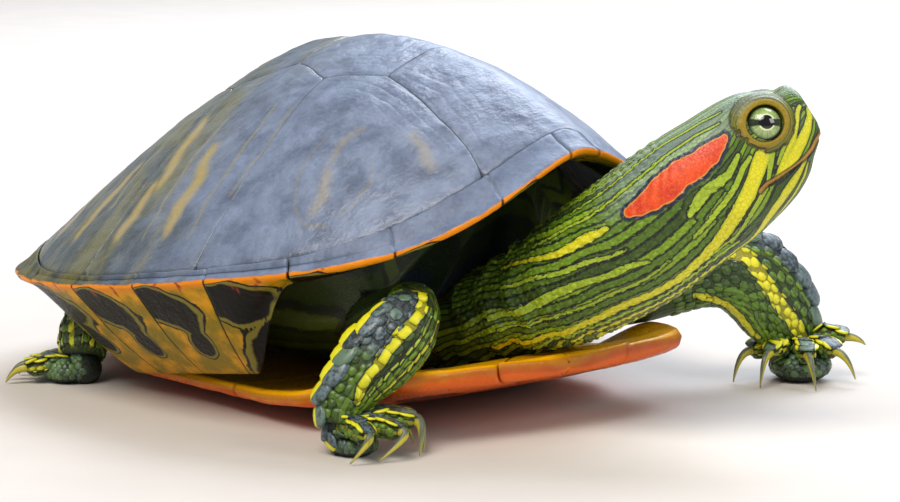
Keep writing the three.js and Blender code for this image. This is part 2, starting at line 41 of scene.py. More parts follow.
# Everything below is worked out in millimetres, nose towards +X, soles on z = 0, and is moved
# by this when its mesh is made
footprintShift = np.array([-13.5, -10.1, 0.0])
random = np.random.default_rng(7)


def smooth(x, low, high):
    # 0 below low, 1 above high, an S-shaped step between them
    t = np.clip((x - low) / (high - low), 0, 1)
    return t * t * (3 - 2 * t)


def hump(x, centre, width):
    # a bell of height 1
    return np.exp(-((x - centre) / width) ** 2)


def unit(v):
    return v / np.maximum(np.linalg.norm(v, axis=-1, keepdims=True), 1e-9)


def signedPower(x, power):
    return np.sign(x) * np.abs(x) ** power


def curve(rows, t):
    # a smooth curve through rows whose first three numbers are a place: cubic pieces whose slopes
    # are those between neighbours, with t from 0 to 1 measured along the straight links
    rows = np.asarray(rows, float)
    reach = np.concatenate([[0], np.cumsum(np.linalg.norm(np.diff(rows[:, :3], axis=0), axis=1))])
    slope = np.gradient(rows, reach, axis=0)
    x = np.clip(t, 0, 1) * reach[-1]
    i = np.clip(np.searchsorted(reach, x, "right") - 1, 0, len(rows) - 2)
    h = (reach[i + 1] - reach[i])[..., None]
    f = (x[..., None] - reach[i][..., None]) / h
    first = (2 * f**3 - 3 * f**2 + 1) * rows[i] + (f**3 - 2 * f**2 + f) * h * slope[i]
    second = (3 * f**2 - 2 * f**3) * rows[i + 1] + (f**3 - f**2) * h * slope[i + 1]
    return first + second


def ripple(p, size, seed, octaves=3):
    # cheap smooth noise of about -1 to 1: waves in a few directions, summed at falling sizes
    rng = np.random.default_rng(seed)
    total = np.zeros(p.shape[:-1])
    for k in range(octaves):
        for _ in range(5):
            way = rng.normal(size=p.shape[-1])
            way *= 2 * np.pi * 1.9**k / (size * np.linalg.norm(way))
            total += np.sin(p @ way + rng.uniform(0, 6.3)) / (2.6 * 1.7**k)
    return total


def circle(count):
    # angles of equal steps round a full turn
    return np.linspace(0, 2 * np.pi, count, endpoint=False)


def raysOf(turn):
    return np.stack([np.cos(turn), np.sin(turn)], -1)


def axesOf(pitch, yaw=0):
    # rows are the nose, left and crown directions of a frame pitched nose up, then turned to its left
    p, y = math.radians(pitch), math.radians(yaw)
    nose = np.array([math.cos(p) * math.cos(y), math.cos(p) * math.sin(y), math.sin(p)])
    left = np.array([-math.sin(y), math.cos(y), 0])
    return np.array([nose, left, np.cross(nose, left)])


def signedVolume(points, faces):
    # over 0 when the faces point outwards
    a, b, c, d = (points[faces[:, k]] for k in range(4))
    return np.einsum("ij,ij->", a, np.cross(b, c)) + np.einsum("ij,ij->", a, np.cross(c, d))


def gridFaces(rows, columns):
    # quads of a grid whose columns close on themselves
    i = np.arange(rows - 1)[:, None]
    j = np.arange(columns)[None]
    k = (j + 1) % columns
    corners = [i * columns + j, i * columns + k, (i + 1) * columns + k, (i + 1) * columns + j]
    return np.stack(corners, -1).reshape(-1, 4)


def meshObject(name, points, faces, marks=None):
    # points in millimetres; marks are numbers kept on the vertices for the materials to read
    mesh = bpy.data.meshes.new(name)
    mesh.from_pydata((points + footprintShift) * 0.001, [], faces)
    mesh.shade_smooth()
    for key, values in (marks or {}).items():
        layer = mesh.attributes.new(key, "FLOAT", "POINT")
        layer.data.foreach_set("value", np.ascontiguousarray(values, dtype=np.float32).ravel())
    piece = bpy.data.objects.new(name, mesh)
    bpy.context.scene.collection.objects.link(piece)
    return piece


def closedSurface(name, grid, marks=None):
    # a grid of rows by columns by xyz, closed round its columns, with its first and last rows filled
    rows, columns = grid.shape[:2]
    points = grid.reshape(-1, 3)
    quads = gridFaces(rows, columns)
    caps = [list(range(columns))[::-1], list(range((rows - 1) * columns, rows * columns))]
    if signedVolume(points, quads) < 0:
        quads = quads[:, ::-1]
        caps = [cap[::-1] for cap in caps]
    return meshObject(name, points, quads.tolist() + caps, marks)


def tubeRows(stations, broad=(0, 0, 1)):
    # stations are x, y, z, half width, half thickness; adds the forward direction of each
    rows = np.asarray(stations, float)
    if rows.shape[1] == 4:
        rows = np.hstack([rows, rows[:, 3:4]])
    ahead = unit(np.gradient(rows[:, :3], axis=0))
    return {"rows": np.hstack([rows[:, :3], ahead, rows[:, 3:]]), "broad": np.array(broad, float),
            "power": 2.0}


def tubePoint(tube, t, phi):
    # the point of a tube at t along it and phi degrees round from its top, positive to its left:
    # a superellipse as wide and as thick as the rows say, square to their forward direction
    t, phi = np.broadcast_arrays(np.asarray(t, float), np.asarray(phi, float))
    row = curve(tube["rows"], t)
    forward = unit(row[..., 3:6])
    left = unit(np.cross(tube["broad"], forward))
    top = np.cross(forward, left)
    angle = np.radians(phi)
    sideways = signedPower(np.sin(angle), 2 / tube["power"])[..., None]
    upwards = signedPower(np.cos(angle), 2 / tube["power"])[..., None]
    point = row[..., :3] + left * row[..., 6:7] * sideways + top * row[..., 7:8] * upwards
    if "shape" in tube:
        outward = unit(left * sideways + top * upwards)
        point = point + outward * tube["shape"](point, row, phi)[..., None]
    return point


head = {
    "place": np.array([90, 19.9, 55.4]),  # between the eyes
    "axes": axesOf(33, 42),
    # from the back of the head to the tip of the snout: x, crown, throat, half width
    "stations": [
        [-19, 7.3, -16.5, 11.3], [-15.2, 7.4, -16.1, 11.0], [-11.4, 7.3, -15.7, 10.5],
        [-7.6, 7.3, -15.0, 9.5], [-3.8, 7.1, -14.0, 8.1], [-1, 6.5, -13.0, 6.9], [1.9, 5.1, -11.3, 5.6],
        [3.8, 4.2, -9.7, 4.6], [5.4, 3.85, -8.3, 3.6], [6.5, 3.2, -7.1, 2.7], [7.1, 2.1, -5.9, 1.8],
        [7.4, 1.1, -4.8, 0.9],
    ],
    "neck": [  # x, y, z, half width, half thickness, from inside the shell
        [34, 2, 14, 15.8, 7.8], [44.5, 3, 18.4, 15.8, 9.0], [54, 3.8, 23.2, 14.4, 10.1],
        [63, 4.6, 28.3, 13.0, 11.2], [72, 6.6, 34.2, 12.3, 12.0],
    ],
    "power": 2.15,
    "mouth": [(-8, -9.8), (-6.5, -9.1), (-4.8, -8.7), (-2.4, -8.9), (0.2, -8.9), (3, -8.6), (4.5, -8.1),
              (5.8, -7.3), (7.2, -6.7)],
    "lipDepth": 0.6,
    "nostril": (6.7, 1.25, -0.6),
    "eye": (-0.4, 4.8, 0.1),
    "eyeForward": 22,  # degrees the eye looks ahead of straight sideways
    "ear": (-14.4, -5.7),
    "earSlant": 29,  # degrees the drum's long axis dips forwards
    # how far each of these stands out or sinks in, and the room of one neck wrinkle and one fold
    "upperLip": 0.3, "underLip": 0.28, "nostrilRim": 0.25, "nostrilDepth": 0.8, "lidMound": 0.9,
    "snoutDip": 0.35, "earRim": 0.24, "earDip": 0.3, "jawMuscle": 0.5, "wrinkle": 0.09, "wrinkleRoom": 1.9,
    "fold": 0.5, "foldRoom": 6.4,
}


def fromHead(p):
    return head["place"] + np.asarray(p, float) @ head["axes"]


def inHead(p):
    return (p - head["place"]) @ head["axes"].T


def overMouth(x, z):
    # height over the line of the mouth
    mouth = np.array(head["mouth"])
    return z - np.interp(x, mouth[:, 0], mouth[:, 1])


def earReach(x, z):
    # distance from the middle of the ear drum, measured shorter along its long axis
    slant = math.radians(head["earSlant"])
    dx, dz = x - head["ear"][0], z - head["ear"][1]
    return np.hypot((dx * math.cos(slant) - dz * math.sin(slant)) / 1.4,
                    dx * math.sin(slant) + dz * math.cos(slant))


def headTube():
    # neck stations follow their path; head stations stay square to the head; the last number is the
    # distance along, which is the head's own x and runs on backwards down the neck
    neck = np.array(head["neck"], float)
    skull = np.array(head["stations"], float)
    middle = (skull[:, 1] + skull[:, 2]) / 2
    places = np.vstack([neck[:, :3], fromHead(np.stack([skull[:, 0], 0 * middle, middle], -1))])
    ahead = unit(np.gradient(places, axis=0))
    ahead[len(neck):] = head["axes"][0]
    ahead[len(neck) - 1] = unit(ahead[len(neck) - 1] + 0.6 * head["axes"][0])
    back = np.linalg.norm(np.diff(places[: len(neck) + 1], axis=0), axis=1)
    distance = np.concatenate([skull[0, 0] - np.cumsum(back[::-1])[::-1], skull[:, 0]])
    sizes = np.vstack([neck[:, 3:], np.stack([skull[:, 3], (skull[:, 1] - skull[:, 2]) / 2], -1)])
    rows = np.hstack([places, ahead, sizes, distance[:, None]])
    return {"rows": rows, "broad": np.array([0, 0, 1.0]), "power": head["power"], "shape": headShape}


def headShape(point, row, phi):
    # how far the skin stands out of the plain tube: lips, nostrils, brow, ear drum, wrinkles and folds
    local = inHead(point)
    x, y, z = local[..., 0], np.abs(local[..., 1]), local[..., 2]
    distance = row[..., 8]
    over = overMouth(x, z)
    gape = smooth(x, -7.6, -5.2)
    out = -head["lipDepth"] * hump(over, -0.1, 0.26) * gape
    # the horny upper lip stands proud
    out += head["upperLip"] * hump(over, 0.55, 0.6) * gape * smooth(x, -4, 2)
    out -= head["underLip"] * hump(over, -1.1, 0.8) * gape
    nose = np.sqrt((x - head["nostril"][0]) ** 2 + (y - head["nostril"][1]) ** 2
                   + (z - head["nostril"][2]) ** 2)
    out += head["nostrilRim"] * hump(nose, 0.95, 0.45) - head["nostrilDepth"] * hump(nose, 0, 0.5)
    # the skin rises to the lids and dips in front of them, over the snout
    mound = np.exp(-(((x + 0.9) / 5.4) ** 2 + ((z - 1.2) / 5.2) ** 2) ** 2)
    out += head["lidMound"] * mound * smooth(y, 2, 5)
    out -= head["snoutDip"] * hump(x, 3.9, 1.1) * smooth(z, 1.5, 4)
    ear = earReach(x, z)
    out += head["earRim"] * hump(ear, 3.1, 0.55) - head["earDip"] * hump(ear, 0, 2.2)
    out += head["jawMuscle"] * hump(z, -10.5, 2.2) * smooth(x, -16, -9) * (1 - smooth(x, -5, 0))
    # fine wrinkles round the neck, then loose folds where it comes out of the shell
    angle = np.radians(phi)
    warp = 1.6 * np.sin(2 * angle + 1) + 0.9 * np.sin(5 * angle + distance / 5)
    warp += 0.5 * np.sin(9 * angle - distance / 3)
    soft = 1 - smooth(distance, -19, -14)
    out += head["wrinkle"] * np.sin(2 * np.pi * (distance + warp) / head["wrinkleRoom"]) * soft
    loose = 1 - smooth(distance, -52, -38)
    out += (head["fold"] * np.sin(2 * np.pi * (distance + 1.3 * warp) / head["foldRoom"]) - 0.2) * loose
    return out


limbs = {
    "foreRight": {
        "stations": [
            [32, -20, 16, 6.3, 5.3], [43, -24.6, 20, 5.5, 4.9], [53.4, -27.6, 23.4, 4.7, 4.4],
            [55.2, -30.4, 21.5, 5.8, 4.2], [54, -35, 16.5, 6.2, 4.0], [52, -39.6, 11.3, 4.8, 3.7],
            [51.2, -41.4, 8, 4.3, 3.5], [51.4, -42, 5.4, 3.6, 3.2],
        ],
        "broad": (0.76, -0.63, 0.12),
    },
    "foreLeft": {
        "stations": [
            [34, 23, 17, 6.5, 5.7], [42.6, 35, 19.4, 6.7, 5.5], [48.6, 50.4, 22.4, 7.7, 5.3],
            [50.6, 56.6, 21.0, 8.9, 5.1], [52.2, 62.2, 15.9, 9.1, 4.6], [53, 66, 10.9, 7.5, 4.0],
            [53.2, 67.4, 8, 6.2, 3.7], [53.6, 68.4, 5.6, 5, 3.2],
        ],
        "broad": (0.9, -0.2, 0.35),
    },
    "hindRight": {
        "stations": [
            [-34, -17, 10, 7.7, 5.3], [-35, -27, 11.5, 7.7, 5.3], [-34.4, -36, 10.9, 6.9, 5.1],
            [-31.6, -40, 7.9, 5.7, 4.6], [-30, -41.4, 5, 4.5, 4],
        ],
        "broad": (-0.3, -1, 0.3),
    },
    "tail": {
        "stations": [
            [-46, 0, 9.6, 4.5], [-55, 0.5, 7.8, 3.9], [-62, 2.5, 5.8, 3.1], [-67.2, 8, 4.1, 2.4],
            [-69.0, 15.5, 2.8, 1.7], [-66.6, 22, 1.8, 1.0], [-62.9, 26.1, 1.4, 0.5],
        ],
        "broad": (0, 0, 1),
    },
}


feet = {
    "soleLevel": 0.0,
    # palm, heel: radii; thick, digit, claw: half thicknesses; slim: narrows the heel and flattens the palm
    "foreRight": {
        "wrist": [51.2, -41.4, 8.2], "palm": 3.9, "thick": 3.1, "heel": 3.4, "digit": 1.65, "claw": 1.12,
        "slim": 0.75,
        # heading, reach, height of the end, then heading, reach and tip height of the claw
        "digits": [
            [86, 10.2, 4.6, 60, 3.4, 0.3], [66, 12, 5.4, -12, 3.4, 0.3], [50, 11.8, 5.6, -25, 2.6, 0.3],
            [26, 10.4, 4.8, -95, 4.6, 0.3], [-8, 8.6, 4.6, -115, 3.2, 0.3],
        ],
    },
    "foreLeft": {
        "wrist": [53.6, 68, 8.6], "palm": 5.8, "thick": 3.9, "heel": 4.8, "digit": 1.75, "claw": 1.12,
        "slim": 0.88,
        "digits": [
            [-104, 9.6, 5.8, -92, 4.4, 0.3], [-74, 10.4, 6.2, -68, 4.4, 0.3], [-36, 10, 6, -28, 5, 0.3],
            [0, 9.2, 6.2, 4, 4.8, 1.6], [38, 8.6, 8, 26, 3.8, 6.8],
        ],
    },
}
for name, wrist, heading, spread in (("hindRight", [-30, -41.2, 5], 214, -17),
                                     ("hindLeft", [-33, 42.2, 5], 152, 17)):
    feet[name] = {
        "wrist": wrist, "palm": 4.8, "thick": 3.3, "heel": 4.0, "digit": 1.65, "claw": 1.12, "slim": 0.9,
        "digits": [[heading - spread * k, 10, 3, heading - spread * k, 3.8, 0.3]
                   for k in (-1.5, -0.5, 0.5, 1.5)],
    }
limbNames = {"foreRight": ("fore", "right"), "foreLeft": ("fore", "left"), "hindRight": ("hind", "right"),
             "hindLeft": ("hind", "left")}


def onSole(points):
    # nothing reaches below the soles
    points[..., 2] = np.maximum(points[..., 2], feet["soleLevel"])


def level(heading):
    # the direction in the floor that many degrees to the left of the nose
    return np.array([math.cos(math.radians(heading)), math.sin(math.radians(heading)), 0])


def footHeading(foot):
    return level(np.mean([digit[0] for digit in foot["digits"]]))


def ellipsoid(centre, radii, rows=28, columns=40):
    # latitude and longitude grid, its ends closed by small caps
    latitude = np.linspace(-88, 88, rows)[:, None] * np.pi / 180
    longitude = circle(columns)[None]
    x = np.cos(latitude) * np.cos(longitude)
    y = np.cos(latitude) * np.sin(longitude)
    z = np.sin(latitude) + 0 * longitude
    return np.asarray(centre) + np.stack([x, y, z], -1) * np.asarray(radii)


def digitPath(foot, digit):
    # three places of a digit: under the palm, the raised knuckle, the end
    hand = np.array(foot["wrist"], float)
    ahead = level(digit[0])
    root = hand + ahead * foot["palm"] * 0.45
    root[2] = hand[2] * 0.6
    knuckle = hand + ahead * digit[1] * 0.66
    knuckle[2] = digit[2] + 0.55
    end = hand + ahead * digit[1]
    end[2] = digit[2]
    return root, knuckle, end


def digitTube(foot, digit):
    # a tube along the digit's path, thinning to a rounded end
    root, knuckle, end = digitPath(foot, digit)
    size = foot["digit"]
    ahead = level(digit[0])
    drop = np.array([0, 0, 1.0])
    stations = [
        [*root, 1.15 * size, 1.1 * size], [*(root + knuckle) / 2 + 0.25 * drop, 1.12 * size, 1.08 * size],
        [*knuckle, 1.12 * size, 1.02 * size], [*(knuckle + end) / 2, 1.02 * size, 0.92 * size],
        [*end, 0.86 * size, 0.8 * size], [*end + ahead * 0.7 - drop * 0.1, 0.55 * size, 0.5 * size],
        [*end + ahead * 1.0 - drop * 0.15, 0.16 * size, 0.15 * size],
    ]
    return tubeRows(stations)


# The lids: a ring of thick skin round each eye, drawn as a profile turned about the eye's axis

lids = {
    # distance from the axis and height over the middle of the eye, outwards and back
    # inside the head
    "profile": [
        [0.3, 0.6], [2.8, 0.8], [3.15, 1.15], [3.25, 1.75], [3.3, 2.15], [3.46, 2.38], [3.75, 2.42],
        [4.2, 2.25], [4.7, 1.8], [5.2, 1.1], [5.6, 0.1], [5.75, -1.3], [5.5, -2.6], [4.0, -3.6], [0.3, -3.8],
    ],
    "long": 1.12,
    "drift": (-0.25, 0.05),  # the lids reach further back and up than the eye
    "wrinkle": 0.13, "ringRoom": 0.62,  # height of the rings and rays, and room of one ring
    "slit": 0.05,  # how much lower the opening is than it is long
    "slant": 0.15,  # how far the lids sink at the back and rise above
    # the crease with the head is rounded off between these distances from the axis
    "softFrom": 3.6, "softTo": 7.4,
    "softRounds": 14, "softStrength": 0.6,
    # rows, closest where seen
    "shares": np.concatenate([np.linspace(0, 0.17, 7), np.linspace(0.18, 0.48, 52), np.linspace(0.53, 1, 7)]),
}


def eyeFrame(side):
    # middle of the eye, and rows: along the slit forwards, upwards, outwards
    turn = math.radians(head["eyeForward"])
    out = np.array([math.sin(turn), side * math.cos(turn), 0.10])
    out /= np.linalg.norm(out)
    up = np.array([0, 0, 1.0]) - out[2] * out
    up /= np.linalg.norm(up)
    ahead = np.array([math.cos(turn), -side * math.sin(turn), 0])
    rows = np.array([ahead, up, out])
    middle = np.array([head["eye"][0], side * head["eye"][1], head["eye"][2]])
    return fromHead(middle), rows @ head["axes"]


def lidGrid(side, columns=110):
    # the profile, smoothed, swung round the axis; shallow rings and rays roughen the outer part
    middle, axes = eyeFrame(side)
    profile = np.array(lids["profile"], float)
    profile = np.hstack([profile, 0 * profile[:, :1]])[:, [0, 2, 1]]
    section = curve(profile, lids["shares"])
    radius, height = section[:, 0:1], section[:, 2:3]
    turn = circle(columns)[None]
    outer = smooth(radius, 3.45, 4.3)
    wave = np.sin(2 * np.pi * radius / lids["ringRoom"] + 0.8 * np.sin(3 * turn) + 1.1 * np.sin(5 * turn + 1))
    height = height + lids["wrinkle"] * outer * (wave + 0.8 * np.sin(17 * turn + 3 * np.sin(turn)))
    x = radius * np.cos(turn) * (1 + (lids["long"] - 1) * outer) + lids["drift"][0] * outer
    y = radius * np.sin(turn) + lids["drift"][1] * outer
    y = y * (1 - lids["slit"] * (1 - outer))
    slant = lids["slant"] * outer
    height = height - slant * (1 - np.cos(turn)) + slant * np.sin(turn)
    return middle + x[..., None] * axes[0] + y[..., None] * axes[1] + height[..., None] * axes[2]


# The shell has its own frame, pitched nose up

shell = {
    "height": 24.2, "pitch": 8.3,
    "halfLength": 70, "halfWidth": 55.3, "outlinePower": 2.3, "rearFlare": 0.05,
    "domeTop": 41, "domePower": 2.34, "domeCone": 0.24, "sideRoundness": 0.31,
    "rimLevel": -0.7, "frontLift": 16.6, "frontLiftAngle": 20, "frontLiftPower": 1.65, "rearLift": 5.7,
    "keel": 0.9, "keelWidth": 4.5,
    "seamShares": (0.92, 0.96, 0.885),  # of the radius, at the nose, the sides and the tail
    "bridgeHalfWidth": 38.6, "bridgeFloor": -19.0,
    "bridgeAngles": (47, 61, 112, 126),  # where it begins, is full, begins to end and ends
}
shellAxes = axesOf(shell["pitch"])


def fromShell(p):
    return np.array([0, 0, shell["height"]]) + p @ shellAxes


def outlineRadius(angle):
    # superellipse seen from above, wider behind; angle in degrees from the nose
    a = np.radians(angle)
    width = shell["halfWidth"] * (1 - shell["rearFlare"] * np.cos(a))
    power = shell["outlinePower"]
    return (np.abs(np.cos(a) / shell["halfLength"]) ** power
            + np.abs(np.sin(a) / width) ** power) ** (-1 / power)


def rimHeight(angle):
    front = shell["frontLift"] * np.exp(-((angle / shell["frontLiftAngle"]) ** shell["frontLiftPower"]))
    return shell["rimLevel"] + front + shell["rearLift"] * smooth(angle, 85, 180)


def seamShare(angle):
    # how far out the seam between the shields and the rim runs
    nose, side, tail = shell["seamShares"]
    front = nose + (side - nose) * smooth(angle, 10, 55)
    return front + (tail - front) * smooth(angle, 110, 150)


def domePoint(x, y, depth=0.0):
    # the dome over a place in the shell's own plan: it falls from a blunt cone on top to the rim, rounder
    # at the front than at the sides, with a low keel along the middle
    angle = np.degrees(np.arctan2(np.abs(y), x))
    share = np.hypot(x, y) / (outlineRadius(angle) - depth)
    a = np.radians(angle)
    turned = shell["sideRoundness"] + (1 - shell["sideRoundness"]) * np.maximum(np.cos(a), 0) ** 2
    turned = turned - shell["sideRoundness"] * np.maximum(-np.cos(a), 0) ** 2
    cone = shell["domeCone"]
    straight = (np.hypot(share, cone) - cone) / (np.hypot(1, cone) - cone)
    dome = 1 - (straight + (share ** shell["domePower"] - straight) * turned)
    keel = shell["keel"] * np.exp(-((y / shell["keelWidth"]) ** 2)) * dome
    z = (shell["domeTop"] - depth) * dome + rimHeight(angle) * (1 - dome) + keel
    return np.stack(np.broadcast_arrays(x, y, z), -1)


# Markings are kept as numbers on the vertices: how many millimetres a place lies inside a stripe or patch

markNames = ("yellow", "lime", "red", "grey", "pale", "lid", "tint", "flow", "bands", "mouth")

headMarks = {
    # each stripe is a row of places: distance along (the head's x), degrees from the crown, half width
    "yellow": [
        [(-2, 91, 0.7), (-3, 94, 1.1), (-4.5, 99, 1.25), (-6, 104, 1.2), (-8, 110, 1.3), (-10.5, 115, 1.2),
         (-13, 121, 1.25), (-15, 127, 1.25), (-17.5, 131, 1.15), (-21, 136, 1.05), (-25, 141, 0.95),
         (-29.5, 142, 0.9), (-34.5, 142, 0.95), (-40, 145, 0.95), (-46.5, 147, 0.95), (-52, 142, 0.85),
         (-58, 130, 0.6)],
        [(3, 139, 0.35), (0.5, 140, 0.65), (-1, 140, 0.85), (-3, 140, 1.0), (-5.5, 144, 1.1), (-8, 151, 1.0),
         (-10, 158, 0.85), (-13, 166, 0.5)],
        [(2.5, 150, 0.25), (1, 153, 0.38), (-1.5, 156, 0.42), (-4, 159, 0.38), (-7, 166, 0.25)],
        [(-29.5, 73, 0.4), (-31, 74, 0.7), (-32.7, 75, 0.9), (-35, 77, 0.85), (-37.5, 76, 0.65),
         (-41, 72, 0.45), (-45, 66, 0.35), (-50, 60, 0.3)],
        [(7.3, 92, 0.3), (7, 104, 0.5), (5.5, 112, 0.8), (4, 114, 0.95), (2, 115, 1.0), (0, 117, 0.85),
         (-2, 117, 0.5), (-4, 118, 0.25)],
        [(-12, 165, 0.5), (-20, 161, 0.6), (-30, 163, 0.6), (-42, 165, 0.55), (-56, 165, 0.5)],
        [(-10, 180, 0.5), (-20, 180, 0.55), (-34, 180, 0.6), (-56, 180, 0.5)],
        [(6.5, 76, 0.25), (4.5, 92, 0.42), (3, 100, 0.48), (1, 106, 0.42), (-0.5, 111, 0.45),
         (-2, 115, 0.35)],
    ],
    "lime": [
        [(-27, 110, 0.25), (-28.5, 107, 0.42), (-30.5, 106, 0.55), (-32, 108, 0.6), (-34, 108, 0.5),
         (-36, 106, 0.55), (-38, 104, 0.7), (-40.5, 104, 0.8), (-43.5, 106, 0.9), (-47, 106, 0.75),
         (-54, 104, 0.6)],
        [(-24.5, 118, 0.2), (-28, 122, 0.25), (-31.5, 124, 0.3), (-37, 126, 0.32), (-43.5, 124, 0.3),
         (-54, 118, 0.3)],
        [(-28.5, 93, 0.18), (-31.5, 94, 0.25), (-36, 92, 0.32), (-42, 87, 0.3), (-50, 80, 0.3)],
        [(-6, 81, 0.3), (-7.5, 85, 0.45), (-9, 88, 0.5), (-11.5, 88, 0.62), (-13.5, 88, 0.75),
         (-15.5, 91, 0.8), (-18, 95, 0.4)],
        [(-1, 96, 0.3), (-1.5, 98, 0.44), (-2.5, 104, 0.42), (-3.5, 110, 0.34), (-4.5, 115, 0.2)],
        [(-4.5, 88, 0.25), (-6.5, 91, 0.35), (-9, 98, 0.42), (-12.5, 104, 0.42), (-15.5, 108, 0.4),
         (-19.5, 112, 0.25)],
        [(-5, 118, 0.35), (-7.5, 122, 0.42), (-9.5, 126, 0.42), (-12, 134, 0.34), (-15, 142, 0.25)],
        [(5.4, 72, 0.15), (3.4, 88, 0.26), (1.6, 96, 0.28), (0.2, 102, 0.28), (-1.4, 108, 0.18)],
        [(-5, 33, 0.15), (-9, 28, 0.25), (-13, 27, 0.25), (-16.5, 26, 0.25), (-20.5, 28, 0.25),
         (-26, 36, 0.22), (-34, 44, 0.22)],
        [(-6, 45, 0.15), (-10.5, 40, 0.22), (-17.5, 42, 0.25), (-24, 48, 0.25), (-32, 58, 0.25),
         (-42, 58, 0.25)],
        [(-2.5, 3, 0.2), (-7, 10, 0.22), (-14, 9, 0.25), (-22, 8, 0.25), (-34, 12, 0.3), (-50, 14, 0.3)],
        [(-22, 20, 0.2), (-30, 26, 0.25), (-40, 30, 0.25), (-52, 32, 0.25)],
        [(5.5, 14, 0.15), (2, 18, 0.22), (-1.5, 20, 0.2)],
        [(-14, 148, 0.3), (-20, 146, 0.4), (-28, 152, 0.4), (-40, 155, 0.4), (-56, 152, 0.4)],
        [(-14, 138, 0.2), (-20, 139, 0.3), (-26, 146, 0.22)],
    ],
    "red": [
        [(-6.6, 62, 0.75), (-8, 63, 1.35), (-10, 65, 1.95), (-13, 66, 2.25), (-16, 65, 2.5), (-19, 67, 2.6),
         (-21.5, 69, 2.15), (-23.8, 70, 1.5), (-25.3, 70, 1.0)],
    ],
}


flow = {
    # the lines that all stripes of the head run along: angle of the red patch's middle and of the main jaw
    # stripe, at distances along; and how many thin bands lie between crown, patch, jaw stripe and throat
    "distance": [-60, -43, -36, -29.5, -23.5, -18.5, -15.5, -13, -10.5, -8.5, -6, -3.4, 0, 4, 8],
    "patch": [62, 68, 74, 74, 70, 67, 65, 66, 65, 63, 62, 58, 50, 46, 44],
    "jaw": [128, 146, 143, 142, 140, 133, 128, 121, 115, 111, 104, 95, 104, 110, 106],
    "bands": (9.0, 9.0, 6.0),
}


def flowOf(distance, angle):
    # 0 on the crown, growing by one for every thin band down to the throat
    patch = np.interp(distance, flow["distance"], flow["patch"])
    jaw = np.interp(distance, flow["distance"], flow["jaw"])
    above, between, below = flow["bands"]
    f = np.where(angle < patch, angle / patch * above, above + (angle - patch) / (jaw - patch) * between)
    return np.where(angle > jaw, above + between + (angle - jaw) / (180 - jaw) * below, f)


def stripeField(stripes, along, sideways, radius):
    # for every place, the most any stripe's half width exceeds the distance to the stripe's line, with
    # degrees turned to millimetres by the local radius
    best = np.full(along.shape, -3.0)
    for stripe in stripes:
        rows = np.asarray(stripe, float)
        for a, b in zip(rows[:-1], rows[1:]):
            ax, bx = along - a[0], b[0] - a[0]
            ay, by = (sideways - a[1]) * radius, (b[1] - a[1]) * radius
            f = np.clip((ax * bx + ay * by) / (bx * bx + by * by + 1e-9), 0, 1)
            best = np.maximum(best, a[2] + (b[2] - a[2]) * f - np.hypot(ax - f * bx, ay - f * by))
    return best


def blankMarks(shape, **given):
    # every mark at rest, apart from those given
    marks = {name: np.zeros(shape) for name in markNames}
    for name in ("yellow", "lime", "red", "mouth"):
        marks[name] -= 3
    marks["tint"] += 0.5
    marks.update({name: np.broadcast_to(value, shape) for name, value in given.items()})
    return marks


def marksOfHead(tube, t, phi):
    # stripes as fields, a painted bluish sheen on the crown, the pale throat, the bare lip and the ring round
    # the ear drum
    row = curve(tube["rows"], t)
    distance = row[..., 8]
    angle = np.abs((phi + 180) % 360 - 180)
    radius = np.radians(1) * (row[..., 6] + row[..., 7]) / 2
    sway = 2.0 * np.sin(distance / 3.1) + 1.3 * np.sin(distance / 1.7 + 2)  # stripes are never quite straight
    loose = smooth(-distance, 24, 40)
    bent = angle + sway * loose * np.sin(np.radians(angle))
    fields = {key: stripeField(headMarks[key], distance, bent, radius) for key in ("yellow", "lime", "red")}
    fields["red"] = fields["red"] + 0.13 * np.sin(distance * 1.9) * np.sin(distance * 0.7 + angle * 0.12)
    patch = np.interp(distance, flow["distance"], flow["patch"])
    crown = smooth(patch - angle, -4, 9) * smooth(distance, -32, -22)
    # under 0 it is a painted bluish sheen on the crown
    pale = smooth(angle, 150, 175) * smooth(-distance, 2, 10) * 0.4 - 0.5 * crown
    local = inHead(tubePoint({**tube, "shape": lambda point, row, phi: 0 * phi}, t, phi))
    along = local[..., 0]
    over = overMouth(along, local[..., 2])
    # the bare edge of the upper lip
    gape = 0.34 + 0.2 * smooth(along, 0, 5) - np.abs(over - 0.24) - 3 * smooth(-along, 6.2, 8)
    gape = np.where(along > -8, gape, -3)
    ear = earReach(along, local[..., 2])
    drum = smooth(-ear, -3.2, -2.7)
    # just enough for the dark line round the drum
    fields["yellow"] = np.maximum(fields["yellow"], -0.18 - 0.8 * np.abs(ear - 2.95))
    return blankMarks(t.shape, pale=pale, flow=flowOf(distance, bent) + 0.6 * drum, bands=1.0, mouth=gape,
                      **fields)


